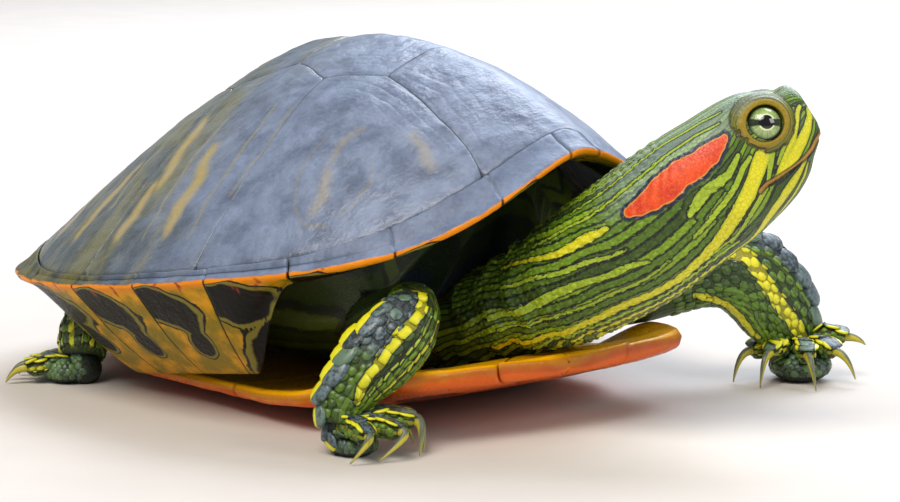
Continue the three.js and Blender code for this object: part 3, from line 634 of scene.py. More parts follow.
limbMarks = {
    # places along from 0 to 1, degrees round, half width in mm
    "foreRight": {
        "yellow": [
            [(0.48, 12, 0.7), (0.54, 11, 0.85), (0.59, 6, 0.9), (0.65, 1, 0.9), (0.72, 5, 0.85),
             (0.8, 9, 0.8), (0.86, 18, 0.7), (0.9, 27, 0.5)],
            [(0.6, -93, 0.3), (0.68, -84, 0.55), (0.8, -86, 0.6), (0.92, -78, 0.6), (1.0, -55, 0.5)],
            [(0.5, 60, 0.2), (0.62, 52, 0.3), (0.75, 50, 0.25), (0.85, 60, 0.2)],
            [(0.5, 90, 0.2), (0.65, 88, 0.4), (0.8, 92, 0.4), (0.95, 90, 0.3)],
            [(0.5, 150, 0.3), (0.7, 150, 0.6), (0.95, 150, 0.5)],
        ],
        "lime": [[(0.5, 36, 0.15), (0.62, 30, 0.25), (0.75, 28, 0.2), (0.85, 38, 0.2)]],
        "grey": (0.74, -75, 12),  # how far down the arm, and between which degrees, the scales are slate grey
    },
    "foreLeft": {
        "yellow": [
            [(0.45, 20, 0.9), (0.6, 11, 1.2), (0.64, -4, 1.25), (0.7, -15, 1.2), (0.8, -17, 1.15),
             (0.9, -14, 1.1), (1.0, -4, 1.0)],
            [(0.42, -45, 0.6), (0.52, -70, 0.9), (0.61, -80, 1.0), (0.72, -81, 1.0), (0.82, -79, 0.8)],
            [(0.5, 84, 0.4), (0.68, 80, 0.5), (0.85, 80, 0.5), (1.0, 75, 0.4)],
            [(0.5, 150, 0.4), (0.75, 150, 0.8), (1.0, 150, 0.6)],
        ],
        "lime": [],
        "grey": (1.1, 28, 66),
    },
    "hindRight": {
        "yellow": [
            [(0.2, -20, 0.7), (0.5, -24, 0.8), (0.8, -20, 0.7), (1, -10, 0.5)],
            [(0.2, 34, 0.6), (0.5, 30, 0.8), (0.8, 34, 0.7), (1, 40, 0.4)],
            [(0.2, 100, 0.6), (0.6, 96, 0.7), (1, 90, 0.4)],
            [(0.2, -90, 0.5), (0.6, -96, 0.7), (1, -96, 0.4)],
        ],
        "lime": [[(0.2, 4, 0.25), (0.6, 2, 0.3), (1, 8, 0.2)],
                 [(0.2, 66, 0.25), (0.6, 64, 0.3), (1, 66, 0.2)]],
        "grey": (0, 0, 0),
    },
    "tail": {
        "yellow": [[(0, 40, 0.4), (0.5, 42, 0.4), (1, 45, 0.15)],
                   [(0, 110, 0.5), (0.5, 110, 0.45), (1, 110, 0.15)],
                   [(0, -40, 0.4), (0.5, -42, 0.4), (1, -45, 0.15)],
                   [(0, -110, 0.5), (0.5, -110, 0.45), (1, -110, 0.15)]],
        "lime": [[(0, 0, 0.3), (0.5, 0, 0.25), (1, 0, 0.1)]],
        "grey": (0, 0, 0),
    },
}
limbs["hindLeft"] = {
    "stations": [[x - 3, -y + 1, *rest] for x, y, *rest in limbs["hindRight"]["stations"]],
    "broad": (-0.3, 1, 0.3),
}
limbMarks["hindLeft"] = limbMarks["hindRight"]


def marksOfLimb(name, tube, t, phi):
    # stripes as fields, with slate grey below the share and between the angles that "grey" gives
    row = curve(tube["rows"], t)
    rows = tube["rows"]
    length = np.linalg.norm(np.diff(rows[:, :3], axis=0), axis=1).sum()
    radius = np.radians(1) * (row[..., 6] + row[..., 7]) / 2
    angle = (phi + 180) % 360 - 180
    marks = limbMarks[name]
    places = {key: [[(a * length, b, c) for a, b, c in stripe] for stripe in marks[key]]
              for key in ("yellow", "lime")}
    fields = {key: stripeField(places[key], t * length, angle, radius) for key in places}
    reach, low, high = marks["grey"]
    grey = smooth(-t, -reach - 0.06, -reach + 0.06)
    grey = grey * smooth(angle, low - 8, low + 8) * smooth(-angle, -high - 8, -high + 8)
    return blankMarks(t.shape, grey=grey, flow=angle * radius / np.radians(1) * 0.017, bands=0.5, **fields)


def tubePiece(name, tube, rows, columns, marksAt):
    # a tube's points on a grid of t and phi, flattened where it meets the floor
    t = np.linspace(0, 1, rows)[:, None] + np.zeros(columns)
    phi = np.linspace(-180, 180, columns, endpoint=False)[None] + np.zeros((rows, 1))
    grid = tubePoint(tube, t, phi)
    onSole(grid)
    return closedSurface(name, grid, marksAt(tube, t, phi))


trunk = {
    # x, half width, top and bottom in the shell's frame, from the tail end to the neck
    "stations": [
        [-54, 9, 4, -11], [-50, 19, 8, -12], [-40, 28, 16, -13.4], [-26, 33, 24, -15.3], [-8, 34.5, 31, -18],
        [10, 34.5, 33, -20.3], [26, 32, 29, -21.2], [35, 28, 24, -21.2], [39, 24, 19, -20.6],
    ],
    "slack": 0.03,  # how far the skin in front hangs in folds, as a share of its width
}


def trunkGrid():
    # superellipse sections through the stations, hidden under the shell
    t = np.linspace(0, 1, 40)
    rows = curve(trunk["stations"], t)
    a = circle(64)[None]
    middle, half = (rows[:, 2:3] + rows[:, 3:4]) / 2, (rows[:, 2:3] - rows[:, 3:4]) / 2
    fold = trunk["slack"] * np.sin(11 * a + 2 * np.sin(2 * a) + rows[:, 0:1] / 9)
    fold = 1 + fold * smooth(rows[:, 0:1], 10, 24)
    y = rows[:, 1:2] * signedPower(np.cos(a), 0.9) * fold
    z = middle + half * signedPower(np.sin(a), 0.9) * fold
    return fromShell(np.stack([rows[:, 0:1] + 0 * a, y, z], -1))


def digitMarks(tube, t, phi):
    # yellow down both sides of a digit
    fromTop = np.abs((phi + 180) % 360 - 180)
    return blankMarks(t.shape, yellow=np.abs(fromTop - 90) * -0.02 + 0.35)


print("skin: laying out the parts")
neckTube = headTube()
limbTubes = {name: tubeRows(limb["stations"], limb["broad"]) for name, limb in limbs.items()}
fleshParts = []
skinStart = tubePiece("skinStart", neckTube, 300, 200, marksOfHead)
for side in (-1, 1):
    grid = lidGrid(side)
    outwards = lids["shares"][:, None] + np.zeros(grid.shape[1])
    # a painted sheen on the upper outer part of each lid, carried by the mark below 0
    upwards = np.sin(circle(grid.shape[1]) + 0.3)
    sheen = 0.55 * smooth(upwards, 0.35, 0.85) * smooth(outwards, 0.3, 0.34)
    marks = blankMarks(grid.shape[:2], lid=1.0, tint=outwards, pale=-sheen)
    fleshParts.append(closedSurface("lid", grid, marks))
for name, tube in limbTubes.items():
    marksAt = lambda tube, t, phi: marksOfLimb(name, tube, t, phi)
    fleshParts.append(tubePiece(name, tube, 80, 56, marksAt))
for name in limbNames:
    foot = feet[name]
    hand = np.array(foot["wrist"], float)
    middle = footHeading(foot)
    ankle = hand[2] / 2 + 0.8
    slim = foot["slim"]
    palm = ellipsoid([*(hand + middle * foot["palm"] * 0.6)[:2], foot["thick"] * slim - 0.5],
                     [foot["palm"], foot["palm"], foot["thick"] * slim])
    heel = ellipsoid([*hand[:2], ankle - 0.6], [foot["heel"] * slim, foot["heel"] * slim, ankle])
    # grey 0.6 and tint 0 make palm and heel dark slate: painted shade under the foot
    for grid in (palm, heel):
        onSole(grid)
        fleshParts.append(closedSurface("foot", grid, blankMarks(grid.shape[:2], grey=0.6, tint=0.0)))
    for digit in foot["digits"]:
        tube = digitTube(foot, digit)
        fleshParts.append(tubePiece("digit", tube, 26, 24, digitMarks))
turn = np.linspace(0, 2, 64, endpoint=False)[None] + np.zeros((40, 1))
# tint 0 keeps the trunk at the darkest green, and its bands mark darkens it further in the skin material:
# painted shade under the shell
marks = blankMarks((40, 64), tint=0.0, flow=14 * turn + np.sin(3 * np.pi * turn), bands=0.6)
fleshParts.append(closedSurface("trunk", trunkGrid(), marks))


def joined(start, parts, name):
    # one closed surface out of closed ones that run into each other
    group = bpy.data.collections.new("fleshParts")
    for part in parts:
        group.objects.link(part)
    union = start.modifiers.new("union", "BOOLEAN")
    union.operation = "UNION"
    union.solver = "MANIFOLD"
    union.operand_type = "COLLECTION"
    union.collection = group
    depsgraph = bpy.context.evaluated_depsgraph_get()
    mesh = bpy.data.meshes.new_from_object(start.evaluated_get(depsgraph))
    mesh.name = name
    piece = bpy.data.objects.new(name, mesh)
    bpy.context.scene.collection.objects.link(piece)
    for part in [start, *parts]:
        bpy.data.objects.remove(part)
    bpy.data.collections.remove(group)
    mesh.shade_smooth()
    return piece


def softenLids(piece):
    # rounds off the crease where each lid meets the head: vertices in a ring about the eye's axis move
    # towards the mean of their neighbours, the lid's colours fade with them, and stripes stop short of it
    mesh = piece.data
    first, last = lids["softFrom"], lids["softTo"]
    faded, cut = ("lid", "pale"), ("yellow", "lime", "red", "bands")
    points, edges = np.empty(len(mesh.vertices) * 3), np.empty(len(mesh.edges) * 2, dtype=np.int32)
    fields = {key: np.empty(len(mesh.vertices), dtype=np.float32) for key in faded + cut}
    mesh.vertices.foreach_get("co", points)
    mesh.edges.foreach_get("vertices", edges)
    for key, field in fields.items():
        mesh.attributes[key].data.foreach_get("value", field)
    points, edges = points.reshape(-1, 3), edges.reshape(-1, 2)
    weight = np.zeros(len(points))
    for side in (-1, 1):
        middle, axes = eyeFrame(side)
        local = (points * 1000 - footprintShift - middle) @ axes.T
        away = np.hypot(local[:, 0] / lids["long"], local[:, 1])
        weight += smooth(away, first, first + 0.3) * (1 - smooth(away, last - 1.2, last)) * (local[:, 2] > -4)
    values = np.hstack([points, np.stack([fields[key] for key in faded], -1)])
    a, b = edges[(weight[edges] > 0).any(1)].T
    count = np.bincount(np.append(a, b), minlength=len(points)).clip(1)
    for _ in range(lids["softRounds"]):
        sums = [np.bincount(np.append(a, b), np.append(v[b], v[a]), len(points)) for v in values.T]
        values += (np.stack(sums, -1) / count[:, None] - values) * lids["softStrength"] * weight[:, None]
    mesh.vertices.foreach_set("co", values[:, :3].ravel())
    for column, key in enumerate(faded):
        fields[key] = values[:, 3 + column].astype(np.float32)
    for key in cut:
        if key == "bands":
            fields[key] *= (1 - smooth(fields["lid"], 0.02, 0.3)).astype(np.float32)
        else:
            fields[key] -= (3 * smooth(fields["lid"], 0.25, 0.55)).astype(np.float32)
    for key, field in fields.items():
        mesh.attributes[key].data.foreach_set("value", field)
    mesh.update()


skin = joined(skinStart, fleshParts, "skin")
softenLids(skin)
print("skin: joined,", len(skin.data.polygons), "faces")


# Scales: small closed domes set over the skin

def dome(sides, levels):
    # rings of a rounded polygon given as (share of the radius, height), closed by a middle point above
    # and a flat face below; the first ring lies under the skin
    turn = circle(sides) + np.pi / sides
    size = (np.abs(np.cos(turn)) ** 2.8 + np.abs(np.sin(turn)) ** 2.8) ** (-1 / 2.8)
    ring = np.stack([size * np.cos(turn), size * np.sin(turn)], -1)
    points = [np.hstack([ring * share, np.full((sides, 1), height)]) for share, height in levels]
    points = np.vstack([*points, [[0, 0, 1]]])
    j = np.arange(sides)
    k = (j + 1) % sides
    faces = [list(j[::-1])]
    last = (len(levels) - 1) * sides
    for base in range(0, last, sides):
        faces += np.stack([base + j, base + k, base + sides + k, base + sides + j], -1).tolist()
    faces += np.stack([last + j, last + k, 0 * j + last + sides], -1).tolist()
    return points, faces


scaleShapes = {
    "granule": dome(7, [(0.9, -0.9), (1.0, 0.1), (0.8, 0.8)]),
    "plate": dome(12, [(0.94, -0.7), (1.0, -0.1), (0.98, 0.45), (0.84, 0.82), (0.45, 0.97)]),
}


def skinSurface():
    # the joined skin in millimetres, to look up the nearest place on it
    mesh = skin.data
    count = len(mesh.vertices)
    points = np.empty(count * 3)
    mesh.vertices.foreach_get("co", points)
    points = points.reshape(-1, 3) * 1000 - footprintShift
    return BVHTree.FromPolygons([Vector(p) for p in points], [tuple(f.vertices) for f in mesh.polygons])


skinTree = skinSurface()


def scaleRoots(tube, start, end, low, high, along, across, marksAt, jitter=0.18):
    # a brick pattern of places on a tube between two shares of its length and two angles: rows follow
    # each other by the scale's length, every second row moved half a scale round
    rows = tube["rows"]
    length = np.linalg.norm(np.diff(rows[:, :3], axis=0), axis=1).sum() * (end - start)
    radius = (rows[:, 6].mean() + rows[:, 7].mean()) / 2
    girth = np.radians(high - low) * radius
    n, m = max(int(length / along), 2), max(int(girth / across), 1)
    i, j = np.meshgrid(np.arange(n), np.arange(m), indexing="ij")
    t = start + (end - start) * (i + 0.5 + random.uniform(-jitter, jitter, i.shape)) / n
    brick = 0.5 * (i % 2) + 0.25 if m > 1 else 0.5
    phi = low + (high - low) * (j + brick + random.uniform(-jitter, jitter, i.shape) * (m > 1)) / m
    t, phi = t.ravel(), phi.ravel()
    ahead = tubePoint(tube, np.clip(t + 0.004, 0, 1), phi) - tubePoint(tube, np.clip(t - 0.004, 0, 1), phi)
    return {
        "place": tubePoint(tube, t, phi), "ahead": ahead, "t": t, "phi": phi, "marks": marksAt(tube, t, phi),
        "along": length / n, "across": girth / m, "marksAt": lambda t, phi: marksAt(tube, t, phi),
        "length": length / (end - start), "radius": radius,
    }


def thinned(roots, keep):
    # only those roots for which keep is true
    kept = {key: (value[keep] if isinstance(value, np.ndarray) else value) for key, value in roots.items()}
    kept["marks"] = {key: np.asarray(value)[keep] for key, value in roots["marks"].items()}
    return kept


def onSkin(roots, reach=0.6):
    # moves the roots onto the skin and drops those that lie inside it or off it
    found = [skinTree.find_nearest(Vector(p)) for p in roots["place"]]
    place, out, _, near = (np.array(column) for column in zip(*found))
    keep = (near < reach) & (place[:, 2] > feet["soleLevel"] + 0.02)
    return {**thinned(roots, keep), "place": place[keep], "out": out[keep]}


scaleVariety = {
    "twist": 0.12,  # in radians
    "size": (0.92, 1.1), "height": (0.8, 1.2),  # least and most, as shares
    "border": 0.62,  # where a plate's yellow border starts, as a share of its half width
}


def scaleCoat(name, shape, batches, patch=0.003):
    # every batch is (roots, height, tilt, spare, uv place); each root gets one dome whose length lies along
    # the limb; spare is the share of the room it fills
    template, faces = scaleShapes[shape]
    allPoints, allMarks, allUv = [], {key: [] for key in markNames}, []
    for roots, height, tilt, spare, (u0, v0, du, dv) in batches:
        count = len(roots["place"])
        ahead = unit(roots["ahead"] - (roots["ahead"] * roots["out"]).sum(-1, keepdims=True) * roots["out"])
        side = np.cross(roots["out"], ahead)
        twist = random.normal(0, scaleVariety["twist"], (count, 1))
        ahead, side = unit(ahead + twist * side), unit(side - twist * ahead)
        size = roots.get("size", 1)
        long = roots["along"] * 0.5 * spare * random.uniform(*scaleVariety["size"], count) * size
        wide = roots["across"] * 0.5 * spare * random.uniform(*scaleVariety["size"], count) * size
        tall = height * random.uniform(*scaleVariety["height"], count) * size
        local = template[None] * np.stack([long, wide, tall], -1)[:, None]
        lift = local[..., 2:3] + tilt * local[..., 0:1]
        points = (roots["place"][:, None] + local[..., 0:1] * ahead[:, None]
                  + local[..., 1:2] * side[:, None] + lift * roots["out"][:, None])
        allPoints.append(points.reshape(-1, 3))
        k = len(template)
        marks = {key: np.repeat(value[:, None], k, axis=1) for key, value in roots["marks"].items()}
        if "marksAt" in roots:  # markings run on over the scale
            t = roots["t"][:, None] + local[..., 0] / roots["length"]
            marks = roots["marksAt"](t, roots["phi"][:, None] + np.degrees(local[..., 1] / roots["radius"]))
        if "trim" in roots:  # a yellow border on the sides that the numbers ask for
            left, right = roots["trim"]
            inward = np.maximum(template[:, 1] * left, -template[:, 1] * right)
            marks["yellow"] = (inward - scaleVariety["border"])[None] * wide[:, None]
        marks["tint"] = np.repeat(random.uniform(0, 1, count)[:, None], k, axis=1)
        for key in markNames:
            allMarks[key].append(np.broadcast_to(marks[key], (count, k)).ravel())
        u = u0 + du * ((roots["phi"] + 180) % 360) / 360
        v = v0 + dv * roots["t"]
        middle = np.stack([u, v], -1)
        allUv.append((middle[:, None] + template[None, :, :2] * patch / 2).reshape(-1, 2))
    points = np.vstack(allPoints)
    onSole(points)
    copies = len(points) // len(template)
    everyFace = []
    for corners in (3, 4, len(faces[0])):
        some = np.array([f for f in faces if len(f) == corners])
        if len(some):
            offsets = len(template) * np.arange(copies)[:, None, None]
            everyFace += (some[None] + offsets).reshape(-1, corners).tolist()
    marks = {key: np.concatenate(value) for key, value in allMarks.items()}
    piece = meshObject(name, points, everyFace, marks)
    uv = np.vstack(allUv)
    loops = np.empty(len(piece.data.loops), dtype=np.int32)
    piece.data.loops.foreach_get("vertex_index", loops)
    piece.data.uv_layers.new(name="OFBake").data.foreach_set("uv", uv[loops].astype(np.float32).ravel())
    print("scales:", name, copies, "scales")
    return piece


scales = {
    # length and width of the room of one scale, its height, in mm
    "neck": (1.1, 0.95, 0.15),
    "front": (0.95, 0.8, 0.07),
    "head": (0.9, 0.75, 0.055),
    "foot": (1.4, 1.2, 0.25),
    # on the palms: scales in a ring, and each ring's share of the palm's radius and height
    "palmCount": 22,
    "palmRings": ((0.35, 0.93), (0.6, 0.8), (0.8, 0.6), (0.95, 0.3), (1.0, 0.0), (0.97, -0.3)),
}


def shareAt(tube, distance):
    # the share of a tube's length at which its distance column passes a value
    t = np.linspace(0, 1, 800)
    return float(np.interp(distance, curve(tube["rows"], t)[:, 8], t))


def neckScales():
    # coarse scales to the middle of the neck, finer ones up to the head, none on the red patch
    long, wide, tall = scales["neck"]
    start, middle, end = (shareAt(neckTube, d) for d in (-62, -37, -17.5))
    place = (0.02, 0.02, 0.55, 0.5)
    rear = onSkin(scaleRoots(neckTube, start, middle, -180, 180, long, wide, marksOfHead))
    rear = scaleCoat("neck_scales", "granule", [(rear, tall, 0.05, 1.08, place)])
    long, wide, tall = scales["front"]
    front = onSkin(scaleRoots(neckTube, middle, end, -180, 180, long, wide, marksOfHead))
    inRed = front["marks"]["red"] > -0.2
    return [rear, scaleCoat("nape_scales", "granule", [(thinned(front, ~inRed), tall, 0.03, 1.08, place)])]


def headScales():
    # fine flat scales over cheeks, jaw and throat behind the eye; crown, face and snout stay bare
    long, wide, tall = scales["head"]
    start, end = shareAt(neckTube, -17.5), shareAt(neckTube, 6.5)
    roots = onSkin(scaleRoots(neckTube, start, end, -180, 180, long, wide, marksOfHead), 0.35)
    local = inHead(roots["place"])
    x, z = local[:, 0], local[:, 2]
    bare = (x > -9) | (z > 4.6) | (roots["marks"]["red"] > -0.15)
    place = (0.02, 0.52, 0.55, 0.45)
    return scaleCoat("head_scales", "granule", [(thinned(roots, ~bare), tall, 0.02, 1.08, place)])


def limbScales(name, bands):
    # one batch of scales for every row of the limb's bands
    tube = limbTubes[name]
    at = lambda tube, t, phi: marksOfLimb(name, tube, t, phi)
    batches = []
    for first, last, low, high, long, wide, tall, tilt in bands:
        roots = onSkin(scaleRoots(tube, first, last, low, high, long, wide, at), 0.5)
        corner = list(limbTubes).index(name)
        batches.append((roots, tall, tilt, 1.12, (0.6 + 0.08 * corner, 0.02, 0.07, 0.5)))
    return batches


armRows = {
    # plates, degrees round the arm, from and to along it, a plate's length and width, its yellow sides
    "foreRight": (7, -59, 0.6, 0.985, (4.9, 4.0), (0, 3.6)),
    "foreLeft": (7, 46, 0.62, 0.99, (5.2, 4.2), (0, 0)),
    # the right row runs on down the heel to the first claw: places, directions and sizes of three plates
    "heel": {
        "place": [[48.9, -42.4, 6.6], [49.7, -43.6, 4.2], [51.4, -44.2, 2.6]],
        "ahead": [[0.1, -0.2, -1.0], [0.35, -0.25, -0.9], [0.8, -0.1, -0.6]],
        "size": [0.78, 0.74, 0.66],
    },
}


def armPlates():
    # the row of big overlapping plates down the outer edge of each forearm
    batches = []
    for corner, name in enumerate(("foreRight", "foreLeft")):
        count, phi, first, last, room, trim = armRows[name]
        tube = limbTubes[name]
        t = np.linspace(first, last, count)
        angle = phi + 6 * np.sin(np.arange(count) * 2.1)
        place = tubePoint(tube, t, angle)
        ahead = tubePoint(tube, np.clip(t + 0.01, 0, 1), angle) - tubePoint(tube, t - 0.01, angle)
        size = 1 - 0.3 * np.abs(np.linspace(-1, 1, count)) ** 2
        if name == "foreRight":
            heel = armRows["heel"]
            place, ahead = np.vstack([place, heel["place"]]), np.vstack([ahead, heel["ahead"]])
            t, angle = np.append(t, [1, 1, 1]), np.append(angle, [0, 0, 0])
            size = np.append(size, heel["size"])
        marks = blankMarks(t.shape, grey=1.0)
        roots = {"place": place, "ahead": ahead, "t": t, "phi": angle, "marks": marks,
                 "along": room[0], "across": room[1], "size": size, "trim": trim}
        batches.append((onSkin(roots, 1.2), 0.8, 0.14, 1.15, (0.6 + 0.08 * corner, 0.55, 0.07, 0.1)))
    return scaleCoat("forearm_plates", "plate", batches)


def footScales():
    # scales over the palms, with a row of plates on the top of every digit
    granules, plates = [], []
    for corner, name in enumerate(limbNames):
        foot = feet[name]
        long, wide, tall = scales["foot"]
        for order, digit in enumerate(foot["digits"]):
            tube = digitTube(foot, digit)
            blank = lambda tube, t, phi: blankMarks(t.shape, yellow=np.abs(np.abs(phi) - 90) * -0.02 + 0.3)
            uvPlace = (0.6 + 0.08 * corner, 0.7 + 0.03 * order, 0.07, 0.02)
            roots = onSkin(scaleRoots(tube, 0.05, 0.9, 40, 320, long * 0.8, wide * 0.8, blank), 0.3)
            granules.append((roots, tall * 0.8, 0.05, 1, uvPlace))
            t = np.linspace(0.26, 0.84, 4)
            place = tubePoint(tube, t, 0 * t)
            ahead = tubePoint(tube, t + 0.01, 0 * t) - tubePoint(tube, t - 0.01, 0 * t)
            roots = {"place": place, "ahead": ahead, "t": t, "phi": 0 * t,
                     "marks": blankMarks(t.shape, grey=1.0), "along": 2.9, "across": foot["digit"] * 2.2,
                     "trim": (0.9, 0.9)}
            plates.append((onSkin(roots, 0.6), 0.3, 0.1, 1.1, uvPlace))
        centre = np.array(foot["wrist"], float) + footHeading(foot) * foot["palm"] * 0.6
        count = scales["palmCount"]
        for ring, (share, lift) in enumerate(scales["palmRings"]):
            angle = circle(count) + ring * 0.14
            place = np.stack([centre[0] + share * foot["palm"] * np.cos(angle),
                              centre[1] + share * foot["palm"] * np.sin(angle),
                              foot["thick"] * (1 + lift) - 0.6 + 0 * angle], -1)
            ahead = np.stack([np.cos(angle), np.sin(angle), 0 * angle], -1)
            # grey 0.5 darkens the palm scales towards slate: painted shade under the foot
            roots = {"place": place, "ahead": ahead, "t": 0 * angle + share, "phi": np.degrees(angle),
                     "marks": blankMarks(angle.shape, grey=0.5), "along": long * 1.1,
                     "across": 2 * np.pi * foot["palm"] * share / count * 1.1}
            granules.append((onSkin(roots, 0.8), tall, 0.05, 1, (0.6 + 0.08 * corner, 0.86, 0.07, 0.04)))
    return [scaleCoat("foot_scales", "granule", granules), scaleCoat("digit_plates", "plate", plates)]


coat = [*neckScales(), headScales()]
bands = {
    # from and to along the limb, from and to round it in degrees, room for one scale, its height and tilt
    "foreRight": [
        (0.40, 0.56, -70, 60, 1.9, 1.8, 0.28, 0.06), (0.56, 0.74, -62, -9, 2.0, 1.8, 0.28, 0.08),
        (0.74, 0.99, -62, -4, 1.35, 1.25, 0.28, 0.05), (0.5, 0.99, -12, 24, 2.2, 2.3, 0.42, 0.05),
        (0.56, 0.99, 26, 140, 1.7, 0.8, 0.16, 0.02), (0.3, 0.99, 142, 285, 1.5, 1.3, 0.3, 0.05),
    ],
    "foreLeft": [
        (0.35, 0.62, -110, 90, 1.8, 1.6, 0.28, 0.04), (0.62, 0.99, -110, -4, 1.7, 1.5, 0.26, 0.04),
        (0.62, 0.99, -4, 34, 1.9, 1.7, 0.3, 0.04),
        (0.62, 0.99, 60, 250, 1.8, 1.6, 0.35, 0.05),
    ],
    "hindRight": [(0.1, 0.99, -180, 180, 1.9, 1.7, 0.35, 0.06)],
    "hindLeft": [(0.1, 0.99, -180, 180, 1.9, 1.7, 0.35, 0.06)],
    "tail": [(0.02, 0.98, -180, 180, 1.5, 1.1, 0.25, 0.06)],
}
for name, rows in bands.items():
    plain = "{}leg_{}".format(*limbNames[name]) if name in limbNames else name
    coat.append(scaleCoat(plain + "_scales", "granule", limbScales(name, rows)))
coat.append(armPlates())
coat += footScales()


# The shields of the shell: polar grids seen from above, drawn down to the dome

scutes = {
    "inset": 0.045,  # half the seam between two shields
    "wall": 2.2,
    "bevel": 0.13,       # how far the edge of a shield falls into the seam
    "bevelWidth": 0.9,
    "bulge": 0.22,
    "waves": 0.12, "ripples": 0.05,  # broad and fine unevenness
    "rounding": 0.35,  # how much a shield's corners are rounded
    "sunk": 0.42,  # how far the shields lie under the plain dome
    "ringDepth": 0.07,
    "rings": 7,
    "vertebral": [[57, 15.5], [33, 12.5], [20, 17], [7, 12.5], [-8, 17.5], [-22, 12], [-34, 16.5], [-46, 7],
                  [-60, 15]],
    "costalEnds": [[23, 80], [-11, 80], [-54.5, 80]],
    "front": [75, 20.5],
    "rear": [-75, 18.8],
    # middle, areola
    "costals": [[(38, 30), (35, 24)], [(6, 32), (2, 24)], [(-27, 31), (-29, 23)], [(-50, 25), (-52, 19)]],
}


def reachToRim(x, y):
    # how far out of the rim seam a place is, as a share: 1 is on the seam
    angle = np.degrees(np.arctan2(np.abs(y), x))
    return np.hypot(x, y) / (seamShare(angle) * outlineRadius(angle))


def rayReach(origin, directions, outline):
    # how far each ray runs before the first link of a closed outline that it meets
    p = np.asarray(outline, float)
    q = np.roll(p, -1, axis=0)
    way = q - p
    d = directions[:, None]
    offset = p[None] - origin
    cross = d[..., 0] * way[None, :, 1] - d[..., 1] * way[None, :, 0]
    cross = np.where(np.abs(cross) < 1e-9, 1e-9, cross)
    f = (offset[..., 0] * way[None, :, 1] - offset[..., 1] * way[None, :, 0]) / cross
    g = (offset[..., 0] * d[..., 1] - offset[..., 1] * d[..., 0]) / cross
    good = (f > 0) & (g >= -1e-6) & (g <= 1 + 1e-6)
    return np.where(good, f, 1e3).min(1)


def rimReach(origin, directions):
    # how far each ray runs before the rim seam, found by halving
    low, high = np.zeros(len(directions)), np.full(len(directions), 160.0)
    for _ in range(40):
        middle = (low + high) / 2
        place = origin + directions * middle[:, None]
        inside = reachToRim(place[:, 0], place[:, 1]) < 1
        low, high = np.where(inside, middle, low), np.where(inside, high, middle)
    return low


def scuteGrid(outline, centre, areola, mirror=1, rows=56, columns=200):
    # rays from the middle of a shield out to its outline; the growth centre, the areola, pulls the inner
    # rings towards itself; the last rings go down the edge and back under the shield
    centre, areola = np.asarray(centre, float), np.asarray(areola, float)
    turn = circle(columns)
    directions = raysOf(turn)
    reach = np.minimum(rayReach(centre, directions, outline), rimReach(centre, directions))
    reach = reach - scutes["inset"] * 1.4
    kernel, rounding = np.array([1, 2, 3, 2, 1]) / 9, scutes["rounding"]
    reach = sum(np.roll(reach, k - 2) * kernel[k] for k in range(5)) * rounding + reach * (1 - rounding)
    share = np.linspace(0.02, 1, rows)[:, None] ** 0.9
    middle = centre + (areola - centre) * (1 - share[..., None]) ** 1.2
    plan = middle + directions[None] * (reach[None] * share)[..., None]
    x, y = plan[..., 0], plan[..., 1] * mirror
    surface = domePoint(x, y)
    gap = (1 - share) * reach[None]  # millimetres to the edge
    rise = scutes["bulge"] * (1 - share**3)
    ringPlace = scutes["rings"] * share**0.8 + 0.25 * np.sin(3 * turn)[None]
    ringPlace = ringPlace + 0.15 * np.sin(7 * turn + 2)[None]
    groove = -scutes["ringDepth"] * np.maximum(np.cos(2 * np.pi * ringPlace), 0) ** 4
    groove = groove * smooth(share, 0.25, 0.6)
    fall = -scutes["bevel"] * np.exp(-gap / scutes["bevelWidth"] * 2.2)
    uneven = scutes["waves"] * ripple(surface, 16, 11, 2) + scutes["ripples"] * ripple(surface, 4.5, 12, 2)
    surface[..., 2] += rise + groove + fall + uneven - scutes["sunk"]
    edge = surface[-1]
    inner = domePoint(edge[:, 0], edge[:, 1], scutes["wall"])
    low = np.stack([edge[:, 0], edge[:, 1], np.minimum(inner[:, 2], edge[:, 2] - 1)], -1)
    step = [edge * (1 - f) + low * f for f in (0.35, 1.0)]
    under = []
    for f in (0.85, 0.5, 0.12):
        back = np.stack([centre[0] + (edge[:, 0] - centre[0]) * f,
                         centre[1] * mirror + (edge[:, 1] - centre[1] * mirror) * f], -1)
        under.append(domePoint(back[:, 0], back[:, 1], scutes["wall"]) - np.array([0, 0, 0.3]))
    grid = np.concatenate([surface, np.stack(step + under)], 0)
    shareAll = np.concatenate([np.broadcast_to(share, (rows, columns)),
                               np.full((len(step) + len(under), columns), 1.0)])
    toEdge = np.concatenate([gap, np.zeros((len(step) + len(under), columns))])
    return grid, shareAll, toEdge


